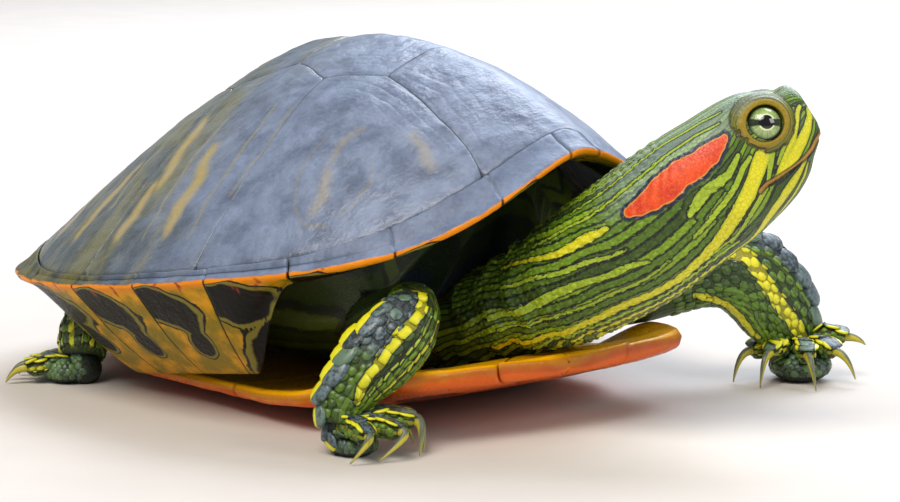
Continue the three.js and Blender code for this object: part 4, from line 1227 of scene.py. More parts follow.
shellMarks = {
    # yellow bars and lines on the shields, in the shell's plan: x, |y|, half width
    "bars": [
        [(37.6, 31.6, 0.3), (38.6, 32.8, 0.8), (40.2, 34.8, 1.0), (40.4, 37, 0.5)],
        [(38.5, 23.5, 0.1), (37.2, 26.5, 0.4), (37.2, 29, 0.3), (37.8, 30.6, 0.1)],
        [(47.5, 19.4, 0.4), (51.5, 21, 0.8), (54, 21.6, 0.4)],
        [(-6.2, 26, 0.8), (-4.8, 31, 1.3), (-4.2, 35, 1.3), (-3.6, 39, 0.8)],
        [(5.0, 33, 0.9), (8.4, 39, 1.5), (7.4, 42.5, 1.6), (9, 46, 0.9)],
        [(-5.2, 39, 0.8), (-5, 43, 1.2), (-6.2, 47.5, 0.8)],
        [(-27, 20, 0.9), (-29, 28, 1.4), (-31, 36, 1.4), (-33, 43, 0.9)],
        [(-18, 34, 0.6), (-20, 40, 1.0), (-22, 46, 0.8)],
        [(-50, 15, 0.6), (-54, 21, 1.2), (-58, 27, 0.8)], [(-44, 24, 0.6), (-48, 30, 1.1), (-51, 36, 0.7)],
    ],
    "lines": [
        [(33, 27, 0.12), (32.6, 31, 0.22), (33.6, 35, 0.25), (36, 38, 0.25), (40, 39.4, 0.22),
         (44, 37.6, 0.15)],
        [(45, 27, 0.15), (46.8, 30, 0.25), (46.6, 33, 0.2), (44.8, 35.6, 0.12)],
        [(2, 26, 0.2), (1, 33, 0.3), (1.6, 41, 0.3), (3, 48, 0.2)],
        [(14, 24, 0.2), (15, 32, 0.35), (14.6, 40, 0.3), (15.6, 47, 0.2)],
        [(19.5, 24, 0.15), (20.4, 32, 0.25), (19.6, 40, 0.25)],
        [(-14, 26, 0.2), (-15.5, 34, 0.3), (-16, 42, 0.3)], [(-24, 22, 0.2), (-25, 30, 0.3), (-27, 40, 0.3)],
        [(-37, 16, 0.2), (-39, 25, 0.3), (-42, 36, 0.3)], [(-60, 8, 0.3), (-62, 16, 0.4)],
    ],
}


def shellFields(local):
    # how far inside a yellow bar or a thin line every place lies, measured in plan; both waver a little
    x = local[..., 0] + 0.25 * ripple(local, 9, 5, 2)
    y = np.abs(local[..., 1]) + 0.25 * ripple(local, 8, 6, 2)
    one = np.ones(x.shape)
    return {key: stripeField(shellMarks[key], x, y, one) for key in ("bars", "lines")}


def rearwardOf(local):
    # grows towards the tail, where the horn turns from slate to olive
    return (40 - local[..., 0]) / 90


def shieldPiece(name, outline, centre, areola, mirror=1):
    # one shield of horn with its marks, moved from the shell's frame
    grid, share, toEdge = scuteGrid(outline, centre, areola, mirror)
    fields = shellFields(grid)
    marks = {"share": share, "toEdge": toEdge, "rearward": rearwardOf(grid), **fields}
    return closedSurface(name + "_horn", fromShell(grid), marks)


shields = []
spine = [scutes["front"], *scutes["vertebral"], scutes["rear"]]
flanks = [scutes["front"], *scutes["costalEnds"], scutes["rear"]]
for k in range(5):
    rows = spine[2 * k: 2 * k + 3]
    outline = rows + [(x, -y) for x, y in rows[::-1]]
    xs = [x for x, y in rows]
    front, back = min(max(xs), 62), max(min(xs), -63)
    centre = ((front + back) / 2, 0.0)
    shields.append(shieldPiece(f"vertebral_{k + 1}", outline, centre, (centre[0] - 3, 0.0)))
for side, word in ((-1, "right"), (1, "left")):
    for k, (centre, areola) in enumerate(scutes["costals"]):
        outline = [flanks[k], *spine[2 * k + 1: 2 * k + 4], flanks[k + 1]]
        outline = [[80, 80]] * (k == 0) + outline + [[-80, 80]] * (k == 3)  # the end ones reach past the rim
        shields.append(shieldPiece(f"costal_{word}_{k + 1}", outline, centre, areola, side))
print("shell:", len(shields), "shields")


# The rim: one section carried round the shell's outline, with a groove at every seam between its plates

rim = {
    # degrees from the nose
    "seams": [2.7, 14.6, 30.5, 47.1, 63.4, 81.7, 101.3, 119, 131.5, 143.5, 155.5, 168, 180],
    "grooveDepth": 0.25, "grooveWidth": 0.2,
    "notch": 0.9,  # how far the edge draws in at the rear seams
    "pieces": {  # CAD node and the angles it spans
        "nuchal": (-2.7, 2.7), "rim_front_right": (-47, -2.7), "rim_bridge_right": (-119, -47),
        "rim_rear_right": (-180, -119), "rim_front_left": (2.7, 47), "rim_bridge_left": (47, 119),
        "rim_rear_left": (119, 180),
    },
    "depth": 4.8,  # thickness at the seam with the shields
    "trim": 0.18,  # degrees kept free at both ends of a piece
    # dark blotches beneath: mm ahead of a seam, mm in from the edge, half length, half width
    "blotch": (5.2, 5.2, 9, 6.4), "blotchSlant": 0.75, "lowerBlotch": (9.5, 14.5, 4.2, 4.4),
    "bridgeBlotch": (53, 20, 10, 12),  # the same, with degrees from the nose for the lengths
    "tickAt": 6.2, "tickWidth": 0.35,  # a short red line between the seams
    "step": 0.42,  # degrees between sections
}


def rimSection(angle):
    # the corners of the section at each angle as radius and height, from the seam with the shields over
    # the edge and back underneath; at the sides the lower corners run down to the bridge
    full = outlineRadius(angle)
    seam = seamShare(angle)
    angles = shell["bridgeAngles"]
    bridge = smooth(angle, *angles[:2]) * (1 - smooth(angle, *angles[2:]))
    a = np.radians(angle)
    top = lambda share: domePoint(full * share * np.cos(a), full * share * np.sin(a))[..., 2]
    innerZ, middleZ, edge = top(seam), top((1 + seam) / 2), rimHeight(angle)
    plain = seam * full - 2
    lowR = plain + (np.minimum(shell["bridgeHalfWidth"] / np.maximum(np.sin(a), 0.5), plain) - plain) * bridge
    low = (innerZ - rim["depth"]) + (shell["bridgeFloor"] - innerZ + rim["depth"]) * bridge
    mix = lambda x, y: x + (y - x) * bridge
    corners = [
        (seam * full + 0.25, innerZ - 0.75), (seam * full + 0.6, innerZ - 0.42),
        (full * (1 + seam) / 2, middleZ - 0.2), (full - 1.6, edge + 1.35), (full - 0.35, edge + 0.75),
        (full, edge), (full - 0.6, edge - 0.8),
        (mix(0.93 * full, 0.6 * full + 0.4 * lowR), mix(middleZ - 3, 0.6 * edge + 0.4 * low - 1.5)),
        (mix(0.9 * full, 0.3 * full + 0.7 * lowR), mix(middleZ - 3.6, 0.3 * edge + 0.7 * low - 1.2)),
        (lowR, low), (mix(lowR - 0.5, lowR + 0.4), low + mix(0.8, 3)),
        (mix(plain, plain - 0.6), innerZ - 4.2), (seam * full - 0.2, innerZ - 2.6),
    ]
    corners = np.stack([np.stack(c, -1) for c in corners], 1)
    across = np.zeros(corners.shape[:2])
    links = np.linalg.norm(np.diff(corners, axis=1), axis=-1)
    across[:, :5] = np.cumsum(links[:, 4::-1], axis=1)[:, ::-1]
    across[:, 6:] = -np.cumsum(links[:, 5:], axis=1)
    return np.concatenate([corners, across[..., None]], -1)


def rounded(loop, times=2):
    # cuts every corner at a quarter of its links, again and again
    for _ in range(times):
        following = np.roll(loop, -1, axis=1)
        halves = [loop * 0.75 + following * 0.25, loop * 0.25 + following * 0.75]
        loop = np.stack(halves, 2).reshape(len(loop), -1, loop.shape[-1])
    return loop


def rimPiece(name, first, last):
    # the rounded section carried round the outline between two angles: it sinks in at each seam, draws in
    # at the rear ones, and carries the dark blotches beneath as distances from each seam
    trim = np.sign(last - first) * rim["trim"]
    stations = np.linspace(first + trim, last - trim, max(int(abs(last - first) / rim["step"]), 8))
    seams = np.array(rim["seams"])
    for seam in seams[(seams > min(abs(first), abs(last)) + 1) & (seams < max(abs(first), abs(last)) - 1)]:
        for shift in (-0.45, -0.2, 0, 0.2, 0.45):
            stations = np.append(stations, np.sign(first + last) * (seam + shift))
    stations = np.sort(stations)
    angle = np.abs(stations)
    loop = rounded(rimSection(angle))
    radius, z, across = loop[..., 0], loop[..., 1], loop[..., 2]
    full = outlineRadius(angle)[:, None]
    gaps = np.radians(angle[:, None] - seams[None]) * full  # millimetres from each seam along the rim
    nearest = np.abs(gaps).min(1)[:, None]
    middleR, middleZ = radius.mean(1, keepdims=True), z.mean(1, keepdims=True)
    away = unit(np.stack([radius - middleR, z - middleZ], -1))
    rear = smooth(angle, 112, 130)[:, None]
    out = -rim["grooveDepth"] * np.exp(-((nearest / rim["grooveWidth"]) ** 2))
    out = out - rim["notch"] * rear * np.exp(-nearest / 1.2) * np.exp(-((across / 3) ** 2))
    a = np.radians(stations)[:, None]
    place = np.stack(np.broadcast_arrays(radius * np.cos(a), radius * np.sin(a), z), -1)
    # shallow growth lines beside the seams and fine creases over the top face
    out = out + 0.10 * ripple(place, 7, 21, 2) * smooth(across, 0.5, 2)
    out = out - 0.06 * np.maximum(np.cos(2 * np.pi * nearest / 1.7), 0) ** 3 * (nearest < 6)
    outward = np.stack([away[..., 0] * np.cos(a), away[..., 0] * np.sin(a), away[..., 1]], -1)
    place = place + outward * out[..., None]
    ahead = -gaps[:, None, :] + 0 * across[..., None]  # towards the nose of each seam
    blotch = np.full(across.shape, -3.0)
    back, inward, long, wide = rim["blotch"]
    lowBack, lowInward, lowLong, lowWide = rim["lowerBlotch"]
    for k in range(1, len(seams)):
        d = ahead[..., k]
        slant = d - back + rim["blotchSlant"] * (across + inward)
        blot = 1 - np.sqrt((slant / long) ** 2 + ((across + inward) / wide) ** 2)
        blot = np.minimum(blot, np.minimum((d + 0.2) * 0.7, (-0.3 - across + 0.09 * d) * 0.45))
        lower = 0.95 - np.sqrt(((d - lowBack) / lowLong) ** 2 + ((across + lowInward) / lowWide) ** 2)
        blotch = np.maximum(blotch, np.maximum(blot, lower))
    turned, inward, long, wide = rim["bridgeBlotch"]
    bridgeFront = 0.9 - np.sqrt(((angle[:, None] - turned) / long) ** 2 + ((across + inward) / wide) ** 2)
    blotch = np.maximum(blotch, bridgeFront)
    tick = np.abs(np.abs(gaps).min(1)[:, None] - rim["tickAt"] - 0.5 * np.sin(across * 2)) < rim["tickWidth"]
    toEdge = np.minimum(nearest, 3 * (across.max(1)[:, None] - across).clip(0, 9)) + 0 * across
    marks = {"across": across, "blotch": blotch + 0.06 * ripple(place, 6, 31, 2),
             "nearSeam": nearest + 0 * across, "tick": 1.0 * (tick & (across < 0.4) & (across > -2.6)),
             "rearward": rearwardOf(place), "share": 1 + 0 * across, "toEdge": toEdge, **shellFields(place)}
    return closedSurface(name + "_horn", fromShell(place), marks)


rimPieces = [rimPiece(name, first, last) for name, (first, last) in rim["pieces"].items()]
print("shell: rim of", len(rimPieces), "pieces")


# The underside

plastron = {
    "outline": [
        [60.8, 6], [60.1, 12], [59, 20], [57.4, 28], [54.8, 33.6], [49.8, 36.6], [43, 37], [37, 35],
        [31, 38.2], [4, 38.2], [-22, 38.2], [-26, 31], [-36, 31.5], [-46, 28], [-54, 21.5], [-59, 15],
        [-62, 9],
    ],
    "floor": [[-62, -14.7], [-30, -18.4], [0, -22.6], [20, -25.3], [36, -26], [44, -25], [52, -23.8],
              [61, -22.6]],
    "wall": 3.2, "frontWall": 4.7, "edgeLift": 1.8, "inset": 0.12, "groove": 0.35,
    "grooveWidth": 0.45, "middleWidth": 0.28,  # of the seams, and of the one along the middle line
    "edgeRadius": 1.6, "cornerRoll": 2.4,  # rounding of the free edge, and lift of the front lobe's corners
    # seams: where each plate's front edge meets the middle line and the side
    "plates": {
        "gulars": ([80, 0], [80, 30]), "humerals": ([47, 0], [75, 34.7]), "pectorals": ([31, 0], [38, 60]),
        "abdominals": ([10, 0], [12, 42]), "femorals": ([-20, 0], [-25, 42]), "anals": ([-40, 0], [-47, 34]),
    },
    "notch": [[-64, 34], [-64, 7], [-58.5, 0]],
    # the dark blotch on each plate: x, |y|, half length, half width
    "spots": {
        "gulars": (54, 6.5, 3.5, 3.6), "humerals": (46, 20, 7, 9), "pectorals": (22, 20, 6.5, 10),
        "abdominals": (-6, 20, 9, 11), "femorals": (-32, 15, 7, 9), "anals": (-50, 9, 6, 6),
    },
    "centres": {"gulars": 55, "humerals": 44, "pectorals": 23, "abdominals": -5, "femorals": -32,
                "anals": -50},
}


def plastronPiece(name, front, back, rows=44, columns=260):
    # rays from the plate's middle to its outline; under face out, round the edge, and the upper face back
    half = [front[0], front[1], *back[::-1]]
    outline = half + [[x, -y] for x, y in half[::-1] if y != 0]
    centre = np.array([plastron["centres"][name], 0.0])
    turn = circle(columns)
    directions = raysOf(turn)
    border = plastron["outline"] + [[x, -y] for x, y in plastron["outline"][::-1]]
    toSeam, toBorder = rayReach(centre, directions, outline), rayReach(centre, directions, border)
    reach = np.minimum(toSeam, toBorder) - plastron["inset"] * 1.5
    share = np.linspace(0.01, 1, rows)[:, None] ** 0.8
    plan = centre + directions[None] * (reach[None] * share)[..., None]
    x, y = plan[..., 0], plan[..., 1]
    outer = np.array(plastron["outline"])[::-1]
    halfWidth = np.interp(x, outer[:, 0], outer[:, 1])
    side = np.clip(np.abs(y) / halfWidth, 0, 1)
    floor = np.interp(x, *np.array(plastron["floor"]).T) + plastron["edgeLift"] * side**4
    wall = plastron["wall"] + (plastron["frontWall"] - plastron["wall"]) * smooth(x, 25, 45)
    # the front lobe's outer corners are rolled up, its middle thinner
    upper = floor + wall * (1 - 0.2 * side**2 - 0.2 * smooth(x, 52, 58))
    upper = upper + plastron["cornerRoll"] * hump(x, 43, 7) * smooth(side, 0.6, 0.95)
    gap = (1 - share) * reach[None]
    middleLine = np.exp(-((y / plastron["middleWidth"]) ** 2))
    seamFall = plastron["groove"] * np.exp(-gap / plastron["grooveWidth"])
    freeEdge = smooth(toSeam - toBorder, -0.1, 0.6)[None]  # the free edge is rounded, a seam only grooved
    drop = 1 - np.sqrt(np.clip(1 - (1 - gap / plastron["edgeRadius"]).clip(0, 1) ** 2, 0, 1))
    roundFall = ((upper - floor) / 2 - 0.15) * drop
    fall = seamFall * (1 - freeEdge) + roundFall * freeEdge + plastron["groove"] * middleLine
    grain = 0.05 * ripple(np.stack([x, y, 0 * x], -1), 9, 41, 2)
    grain = grain - 0.04 * np.maximum(np.cos(2 * np.pi * gap / 2.3), 0) ** 4 * (gap > 1)
    low = np.stack([x, y, floor + fall + grain], -1)
    high = np.stack([x, y, upper - fall], -1)[::-1]
    grid = np.concatenate([low, high])
    local = np.concatenate([np.stack([x, np.abs(y)], -1), np.stack([x, np.abs(y)], -1)[::-1]])
    spot = plastron["spots"][name]
    blotch = 1 - np.hypot((local[..., 0] - spot[0]) / spot[2], (local[..., 1] - spot[1]) / spot[3])
    height = np.concatenate([(low[..., 2] - floor) / wall, (high[..., 2][::-1] - floor)[::-1] / wall[::-1]])
    marks = {"blotch": blotch + 0.1 * ripple(grid, 9, 43, 2),
             "toEdge": np.concatenate([gap, gap[::-1]]) + 0 * grid[..., 0], "height": height,
             "forward": grid[..., 0] / 60, "sideways": local[..., 1] / 38}
    return closedSurface(name + "_horn", fromShell(grid), marks)


order = list(plastron["plates"].items())
plastronPieces = []
for k, (name, front) in enumerate(order):
    back = list(order[k + 1][1]) if k + 1 < len(order) else plastron["notch"][::-1]
    plastronPieces.append(plastronPiece(name, front, back))
print("shell: underside of", len(plastronPieces), "plates")


# Eyes and claws

eyeball = {
    "radius": 3.55,
    "fullness": 0.12,  # how far the clear front stands out of the ball
    "roll": -33,  # degrees that keep the eye level while the head is tipped
}


def eyePiece(name, side):
    # rings at growing angles from the axis, with the clear front a little fuller than the ball behind it
    middle, axes = eyeFrame(side)
    away = np.radians(np.concatenate([np.linspace(1, 70, 60), np.linspace(74, 178, 20)]))[:, None]
    turn = circle(72)[None]
    radius = eyeball["radius"] + eyeball["fullness"] * np.exp(-((away / 0.45) ** 2))
    local = np.stack([radius * np.sin(away) * np.cos(turn), radius * np.sin(away) * np.sin(turn),
                      radius * np.cos(away) + 0 * turn], -1)
    roll = math.radians(eyeball["roll"])
    fore = local[..., 0] * math.cos(roll) + local[..., 1] * math.sin(roll)
    rise = local[..., 1] * math.cos(roll) - local[..., 0] * math.sin(roll)
    marks = {"fore": fore, "rise": rise, "deep": local[..., 2]}
    return closedSurface(name + "_ball", middle + local @ axes, marks)


clawShape = {"narrow": 0.82, "flat": 0.72, "taper": 1.4, "tip": 0.14, "lift": 0.05}  # shares of its depth; mm


def clawPath(foot, digit):
    # start inside the digit's end, a bend ahead of it, and the tip at its own heading and height
    root, knuckle, end = digitPath(foot, digit)
    ahead = level(digit[0])
    start = end + ahead * 0.55
    bend = start + ahead * (0.35 + digit[4] * 0.62)
    bend[2] += 0.1
    tip = end + ahead * 0.9 + level(digit[3]) * digit[4]
    tip[2] = digit[5]
    return start, bend, tip


def clawPiece(name, foot, digit):
    # a bent cone: a curve through start, bend and tip, deeper than wide, flattened underneath
    start, bend, tip = clawPath(foot, digit)
    t = np.linspace(0, 1, 26)[:, None]
    path = (1 - t) ** 2 * start + 2 * t * (1 - t) * bend + t**2 * tip
    forward = unit(np.gradient(path, axis=0))
    left = unit(np.cross([0, 0, 1.0], forward))
    top = np.cross(forward, left)
    size = (foot["claw"] - 0.06) * (1 - t ** clawShape["taper"]) + clawShape["tip"] * t ** clawShape["taper"]
    turn = circle(20)[None]
    sideways = (size * clawShape["narrow"] * np.sin(turn))[..., None]
    upwards = (size * np.where(np.cos(turn) > 0, 1.0, clawShape["flat"]) * np.cos(turn))[..., None]
    grid = path[:, None] + left[:, None] * sideways + top[:, None] * upwards
    grid[..., 2] = np.maximum(grid[..., 2], clawShape["lift"])
    marks = {"along": t + 0 * turn, "flank": np.abs(np.sin(turn)) + 0 * t}
    return closedSurface(name + "_horn", grid, marks)


eyes = [eyePiece("eye_right", -1), eyePiece("eye_left", 1)]
claws = []
for name, (pair, side) in limbNames.items():
    for k, digit in enumerate(feet[name]["digits"]):
        claws.append(clawPiece(f"claw_{pair}foot_{side}_{k + 1}", feet[name], digit))
print("eyes and", len(claws), "claws")


# Materials

def tone(code):
    # a screen colour such as "c8b040" as the linear numbers the shaders take
    values = [int(code[k: k + 2], 16) / 255 for k in (0, 2, 4)]
    return (*[v / 12.92 if v <= 0.04045 else ((v + 0.055) / 1.055) ** 2.4 for v in values], 1)


def tonesOf(**codes):
    return {name: tone(code) for name, code in codes.items()}


class Wire:
    # the output of a node; a sign between wires and numbers makes a Math node
    def __init__(self, socket):
        self.socket, self.tree = socket, socket.id_data

    def __add__(self, other):
        return calc("ADD", self, other)

    def __sub__(self, other):
        return calc("SUBTRACT", self, other)

    def __rsub__(self, other):
        return calc("SUBTRACT", other, self)

    def __mul__(self, other):
        return calc("MULTIPLY", self, other)

    def __truediv__(self, other):
        return calc("DIVIDE", self, other)


def fill(node, inputs):
    # links each wire to the node's socket of that name or number, and sets each number or colour on its own
    for key, value in inputs.items():
        if isinstance(value, Wire):
            node.id_data.links.new(value.socket, node.inputs[key])
        else:
            node.inputs[key].default_value = value
    return node


def put(tree, kind, inputs=None, output=0, **settings):
    # adds a shader node and gives back one of its outputs
    made = tree.nodes.new("ShaderNode" + kind)
    for key, value in settings.items():
        setattr(made, key, value)
    return Wire(fill(made, inputs or {}).outputs[output])


def treeOf(*values):
    return next(value.tree for value in values if isinstance(value, Wire))


def calc(operation, *values):
    return put(treeOf(*values), "Math", dict(enumerate(values)), operation=operation)


def blend(factor, a, b):
    # a where the factor is 0, b where it is 1
    return put(treeOf(factor, a, b), "Mix", {0: factor, 6: a, 7: b}, 2, data_type="RGBA")


def step(value, low, high, start=0.0, end=1.0):
    # an S-shaped step from start to end as value goes from low to high
    inputs = {0: value, 1: low, 2: high, 3: start, 4: end}
    return put(value.tree, "MapRange", inputs, interpolation_type="SMOOTHSTEP")


def loosened(value, noise, amount):
    # a field whose edges wander with a noise of 0 to 1
    return value + (noise - 0.5) * amount


def markOf(tree, name):
    return put(tree, "Attribute", output="Fac", attribute_name=name)


def objectNoise(tree, scale, detail=3.0, rough=0.55, stretch=(1, 1, 1)):
    place = put(tree, "Mapping", {0: put(tree, "TexCoord", output="Object"), 3: stretch})
    return put(tree, "TexNoise", {"Vector": place, "Scale": scale, "Detail": detail, "Roughness": rough})


def group(name, inputs, outputs):
    # a node group of number sockets and one colour: its tree, its inputs, the node its results go to
    tree = bpy.data.node_groups.new(name, "ShaderNodeTree")
    for key, value in inputs.items():
        tree.interface.new_socket(key, in_out="INPUT", socket_type="NodeSocketFloat").default_value = value
    for key in outputs:
        kind = "NodeSocketColor" if key == "Color" else "NodeSocketFloat"
        tree.interface.new_socket(key, in_out="OUTPUT", socket_type=kind)
    given = tree.nodes.new("NodeGroupInput")
    return tree, {key: Wire(given.outputs[key]) for key in inputs}, tree.nodes.new("NodeGroupOutput")


def use(tree, made, inputs):
    # a node group placed in a material: its results as wires
    node = tree.nodes.new("ShaderNodeGroup")
    node.node_tree = made
    fill(node, inputs)
    return {socket.name: Wire(socket) for socket in node.outputs}


def material(name, **settings):
    made = bpy.data.materials.new(name)
    made.use_nodes = True
    inputs = {key.replace("_", " "): value for key, value in settings.items()}
    return made, made.node_tree, fill(made.node_tree.nodes["Principled BSDF"], inputs)


def finish(shader, colour, grain, rough, height, distance, strength):
    # colour, roughness that follows a grain of 0 to 1, and bump
    relief = put(height.tree, "Bump", {"Height": height, "Distance": distance, "Strength": strength})
    fill(shader, {"Base Color": colour, "Roughness": step(grain, 0.3, 0.7, *rough), "Normal": relief})


fleshTones = tonesOf(
    base="2c450c", light="5c7f16", dark="0b100d", slate="62747e", slateDark="222d2b", belly="83883a",
    crown="93a8a0", yellow="e0d820", yellowDeep="b4bc14", lime="8fb018", limePale="b2c436", mouth="b8821e",
    blue="0e1a3a", red="ea4c0c", redDeep="d03206", redPale="f07a2c", redRim="d89434", lid="b8b800",
    lidDark="44460a", lidRing="e6bc00",
)


def fleshGroup():
    # dark olive, lighter or darker from place to place, then slate, the pale throat, lids, a painted bluish
    # sheen on the crown and the tops of the lids, and the stripes over them: each stripe has its colour where
    # its field is over 0 and a dark line just outside
    inputs = {"Yellow": -3.0, "Lime": -3.0, "Red": -3.0, "Mouth": -3.0, "Grey": 0.0, "Pale": 0.0, "Lid": 0.0,
              "Tint": 0.5, "Flow": 0.0, "Bands": 0.0}
    tree, g, out = group("fleshColour", inputs, ["Color"])
    c = fleshTones
    patchy, fine = objectNoise(tree, 260, 3), objectNoise(tree, 1400, 2)
    vary = g["Tint"] * 0.5 + patchy * 0.7
    colour = blend(step(vary, 0.35, 0.85), c["base"], c["light"])
    # thin bands along the flow, each its own green, with dark lines between them
    wave = loosened(g["Flow"], patchy, 0.5)
    own = put(tree, "TexWhiteNoise", {"W": calc("FLOOR", wave)}, "Value", noise_dimensions="1D")
    banded = blend(step(own, 0.1, 0.6), c["base"], c["light"])
    banded = blend(step(own, 0.5, 0.95), banded, c["lime"])
    banded = blend(step(vary, 0.3, 0.9) * 0.35, banded, c["light"])
    fromLine = calc("ABSOLUTE", calc("FRACT", wave) - 0.5)
    banded = blend(step(fromLine, 0.3, 0.42, 0.0, 0.95), banded, c["dark"])
    colour = blend(g["Bands"], colour, banded)
    slate = blend(step(fine + g["Tint"] * 0.3, 0.45, 0.8), c["slateDark"], c["slate"])
    slate = blend(step(g["Tint"], 0.5, 0.9, 0.0, 0.4), slate, c["light"])
    colour = blend(g["Grey"], colour, slate)
    colour = blend(g["Pale"], colour, c["belly"])
    # on a lid Tint runs from the eye outwards: a dark rim, a yellow ring, then olive with dark creases
    crease = calc("SINE", g["Tint"] * 150.0 + patchy * 5.0)
    lid = blend(step(crease + fine * 1.2, 0.9, 1.6, 0.0, 0.75), c["lid"], c["lidDark"])
    lid = blend(step(calc("ABSOLUTE", g["Tint"] - 0.285), 0.015, 0.04, 0.85, 0.0), lid, c["lidRing"])
    lid = blend(step(g["Tint"], 0.22, 0.25, 1.0, 0.0), lid, c["dark"])
    lid = blend(step(g["Tint"], 0.4, 0.52, 0.0, 0.6), lid, c["base"])
    colour = blend(g["Lid"], colour, lid)
    colour = blend(g["Pale"] * -1.0, colour, c["crown"])  # under 0 the mark is a painted bluish sheen on the crown and the tops of the lids
    yellow, lime, red = (loosened(g[key], fine, 0.14) for key in ("Yellow", "Lime", "Red"))
    most = calc("MAXIMUM", yellow, calc("MAXIMUM", lime, red))
    colour = blend(step(most, -0.42, -0.15) * 0.92, colour, c["dark"])
    colour = blend(step(red, -0.85, -0.45) * 0.95, colour, c["blue"])
    limeTone = blend(patchy, c["lime"], c["limePale"])
    limeTone = blend(step(fine, 0.5, 0.8, 0.0, 0.4), limeTone, c["light"])
    yellowTone = blend(step(yellow + patchy * 0.5, 0.15, 0.75), c["yellowDeep"], c["yellow"])
    yellowTone = blend(step(fine, 0.5, 0.8, 0.0, 0.45), yellowTone, c["yellowDeep"])
    redTone = blend(step(patchy, 0.35, 0.7), c["redDeep"], c["red"])
    redTone = blend(step(fine, 0.4, 0.8, 0.0, 0.5), redTone, c["redPale"])
    redTone = blend(step(red, 0.05, 0.3), c["redRim"], redTone)
    for field, stripe in ((lime, limeTone), (yellow, yellowTone), (red, redTone)):
        colour = blend(step(field, -0.08, 0.06), colour, stripe)
    colour = blend(step(g["Mouth"], -0.42, -0.2, 0.0, 0.8), colour, c["dark"])
    colour = blend(step(g["Mouth"], -0.12, 0.05), colour, c["mouth"])
    fill(out, {"Color": colour})
    return tree


fleshColour = fleshGroup()


def fleshOn(tree):
    # the flesh group with every mark of the vertices
    return use(tree, fleshColour, {key.capitalize(): markOf(tree, key) for key in markNames})["Color"]


def skinMaterial():
    # flesh with a fine net of cracks, fainter on the red patch and lids, and painted shade between limb
    # scales: the skin darkens wherever the bands mark is low, also on the trunk, feet and lids
    made, tree, shader = material(
        "skin", IOR=1.45, Subsurface_Weight=0.03, Subsurface_Radius=(0.002, 0.0012, 0.0006),
        Coat_Weight=0.12, Coat_Roughness=0.28,
    )
    dark = fleshTones["dark"]
    net = {"Vector": put(tree, "TexCoord", output="Object"), "Scale": 1500.0}
    crack = step(put(tree, "TexVoronoi", net, "Distance", feature="DISTANCE_TO_EDGE"), 0.0, 0.14)
    bare = step(markOf(tree, "red"), -0.4, 0.0, 1.0, 0.3) * step(markOf(tree, "lid"), 0.0, 0.5, 1.0, 0.0)
    colour = blend((1.0 - crack) * (bare * 0.18), fleshOn(tree), dark)
    # painted shade: skin with a low bands mark is darkened
    colour = blend(step(markOf(tree, "bands"), 0.55, 0.95, 0.6, 0.0), colour, dark)
    fine = objectNoise(tree, 2600, 2)
    finish(shader, colour, fine, (0.34, 0.6), crack + fine * 0.5, 0.00008, 0.6)
    return made


def scaleMaterial():
    made, tree, shader = material("scales", IOR=1.5, Coat_Weight=0.08, Coat_Roughness=0.3)
    fine = objectNoise(tree, 1900, 3)
    finish(shader, fleshOn(tree), fine, (0.3, 0.52), fine, 0.0001, 0.6)
    return made


shellTones = tonesOf(
    slate="4b566c", slateLight="66738a", olive="646024", oliveDark="2c3429", bar="a48e34", line="7d7440",
    seam="4c5150", dust="8d9cb8",
)


def shieldGroup():
    # slate in front turning to banded olive behind, yellow bars and lines, dark seams, dust on top
    inputs = {"Share": 0.5, "Bars": -3.0, "Lines": -3.0, "Rearward": 0.3, "ToEdge": 5.0}
    tree, g, out = group("shieldColour", inputs, ["Color", "Dust", "Height"])
    c = shellTones
    broad, middle, fine = objectNoise(tree, 55, 3), objectNoise(tree, 190, 4, 0.6), objectNoise(tree, 1300, 3)
    streak = objectNoise(tree, 160, 3, 0.6, (1, 0.25, 0.5))
    olive = blend(step(streak, 0.38, 0.62), c["oliveDark"], c["olive"])
    slate = blend(step(middle * 0.5 + streak * 0.5, 0.3, 0.7), c["slate"], c["slateLight"])
    colour = blend(step(loosened(g["Rearward"], broad, 0.5), 0.22, 0.5), slate, olive)
    fade = step(g["Rearward"], 0.0, 0.4, 0.45, 1.0)
    bars = step(loosened(g["Bars"], middle, 1.2), -1.3, 1.0, 0.0, 0.85)
    colour = blend(bars * (fade + 0.15), colour, c["bar"])
    colour = blend(step(g["Lines"], -0.35, 0.2) * fade, colour, c["line"])
    colour = blend(step(g["ToEdge"], 0.0, 0.4, 0.35, 0.0), colour, c["seam"])
    upward = put(tree, "SeparateXYZ", {0: put(tree, "NewGeometry", output="Normal")}, 2)
    dust = step(upward, 0.05, 0.85) * step(middle + fine * 0.4, 0.3, 1.1)
    dust = dust * step(g["Rearward"], 0.1, 0.7, 0.55, 0.2)
    colour = blend(dust, colour, c["dust"])
    wrinkle = objectNoise(tree, 420, 4, 0.65, (1, 0.35, 1))
    ridges = {"Vector": put(tree, "TexCoord", output="Object"), "Scale": 330.0, "Detail": 5.0}
    ridge = put(tree, "TexNoise", ridges, noise_type="RIDGED_MULTIFRACTAL", normalize=True)
    height = wrinkle * 0.7 + fine * 0.25 + ridge * step(g["Share"], 0.45, 1.0) * 0.5
    fill(out, {"Color": colour, "Dust": dust, "Height": height})
    return tree


shieldColour = shieldGroup()


def hornOn(tree):
    # the shield group with the marks of the shell's vertices
    names = {"Share": "share", "Bars": "bars", "Lines": "lines", "Rearward": "rearward", "ToEdge": "toEdge"}
    return use(tree, shieldColour, {key: markOf(tree, name) for key, name in names.items()})


def carapaceMaterial():
    made, tree, shader = material(
        "carapace", IOR=1.5, Sheen_Weight=0.25, Sheen_Roughness=0.5, Sheen_Tint=tone("c8d4e4"),
    )
    horn = hornOn(tree)
    relief = put(tree, "Bump", {"Height": horn["Height"], "Distance": 0.0006, "Strength": 0.7})
    rough = step(horn["Dust"], 0.0, 0.6, 0.28, 0.5)
    fill(shader, {"Base Color": horn["Color"], "Roughness": rough, "Normal": relief})
    return made


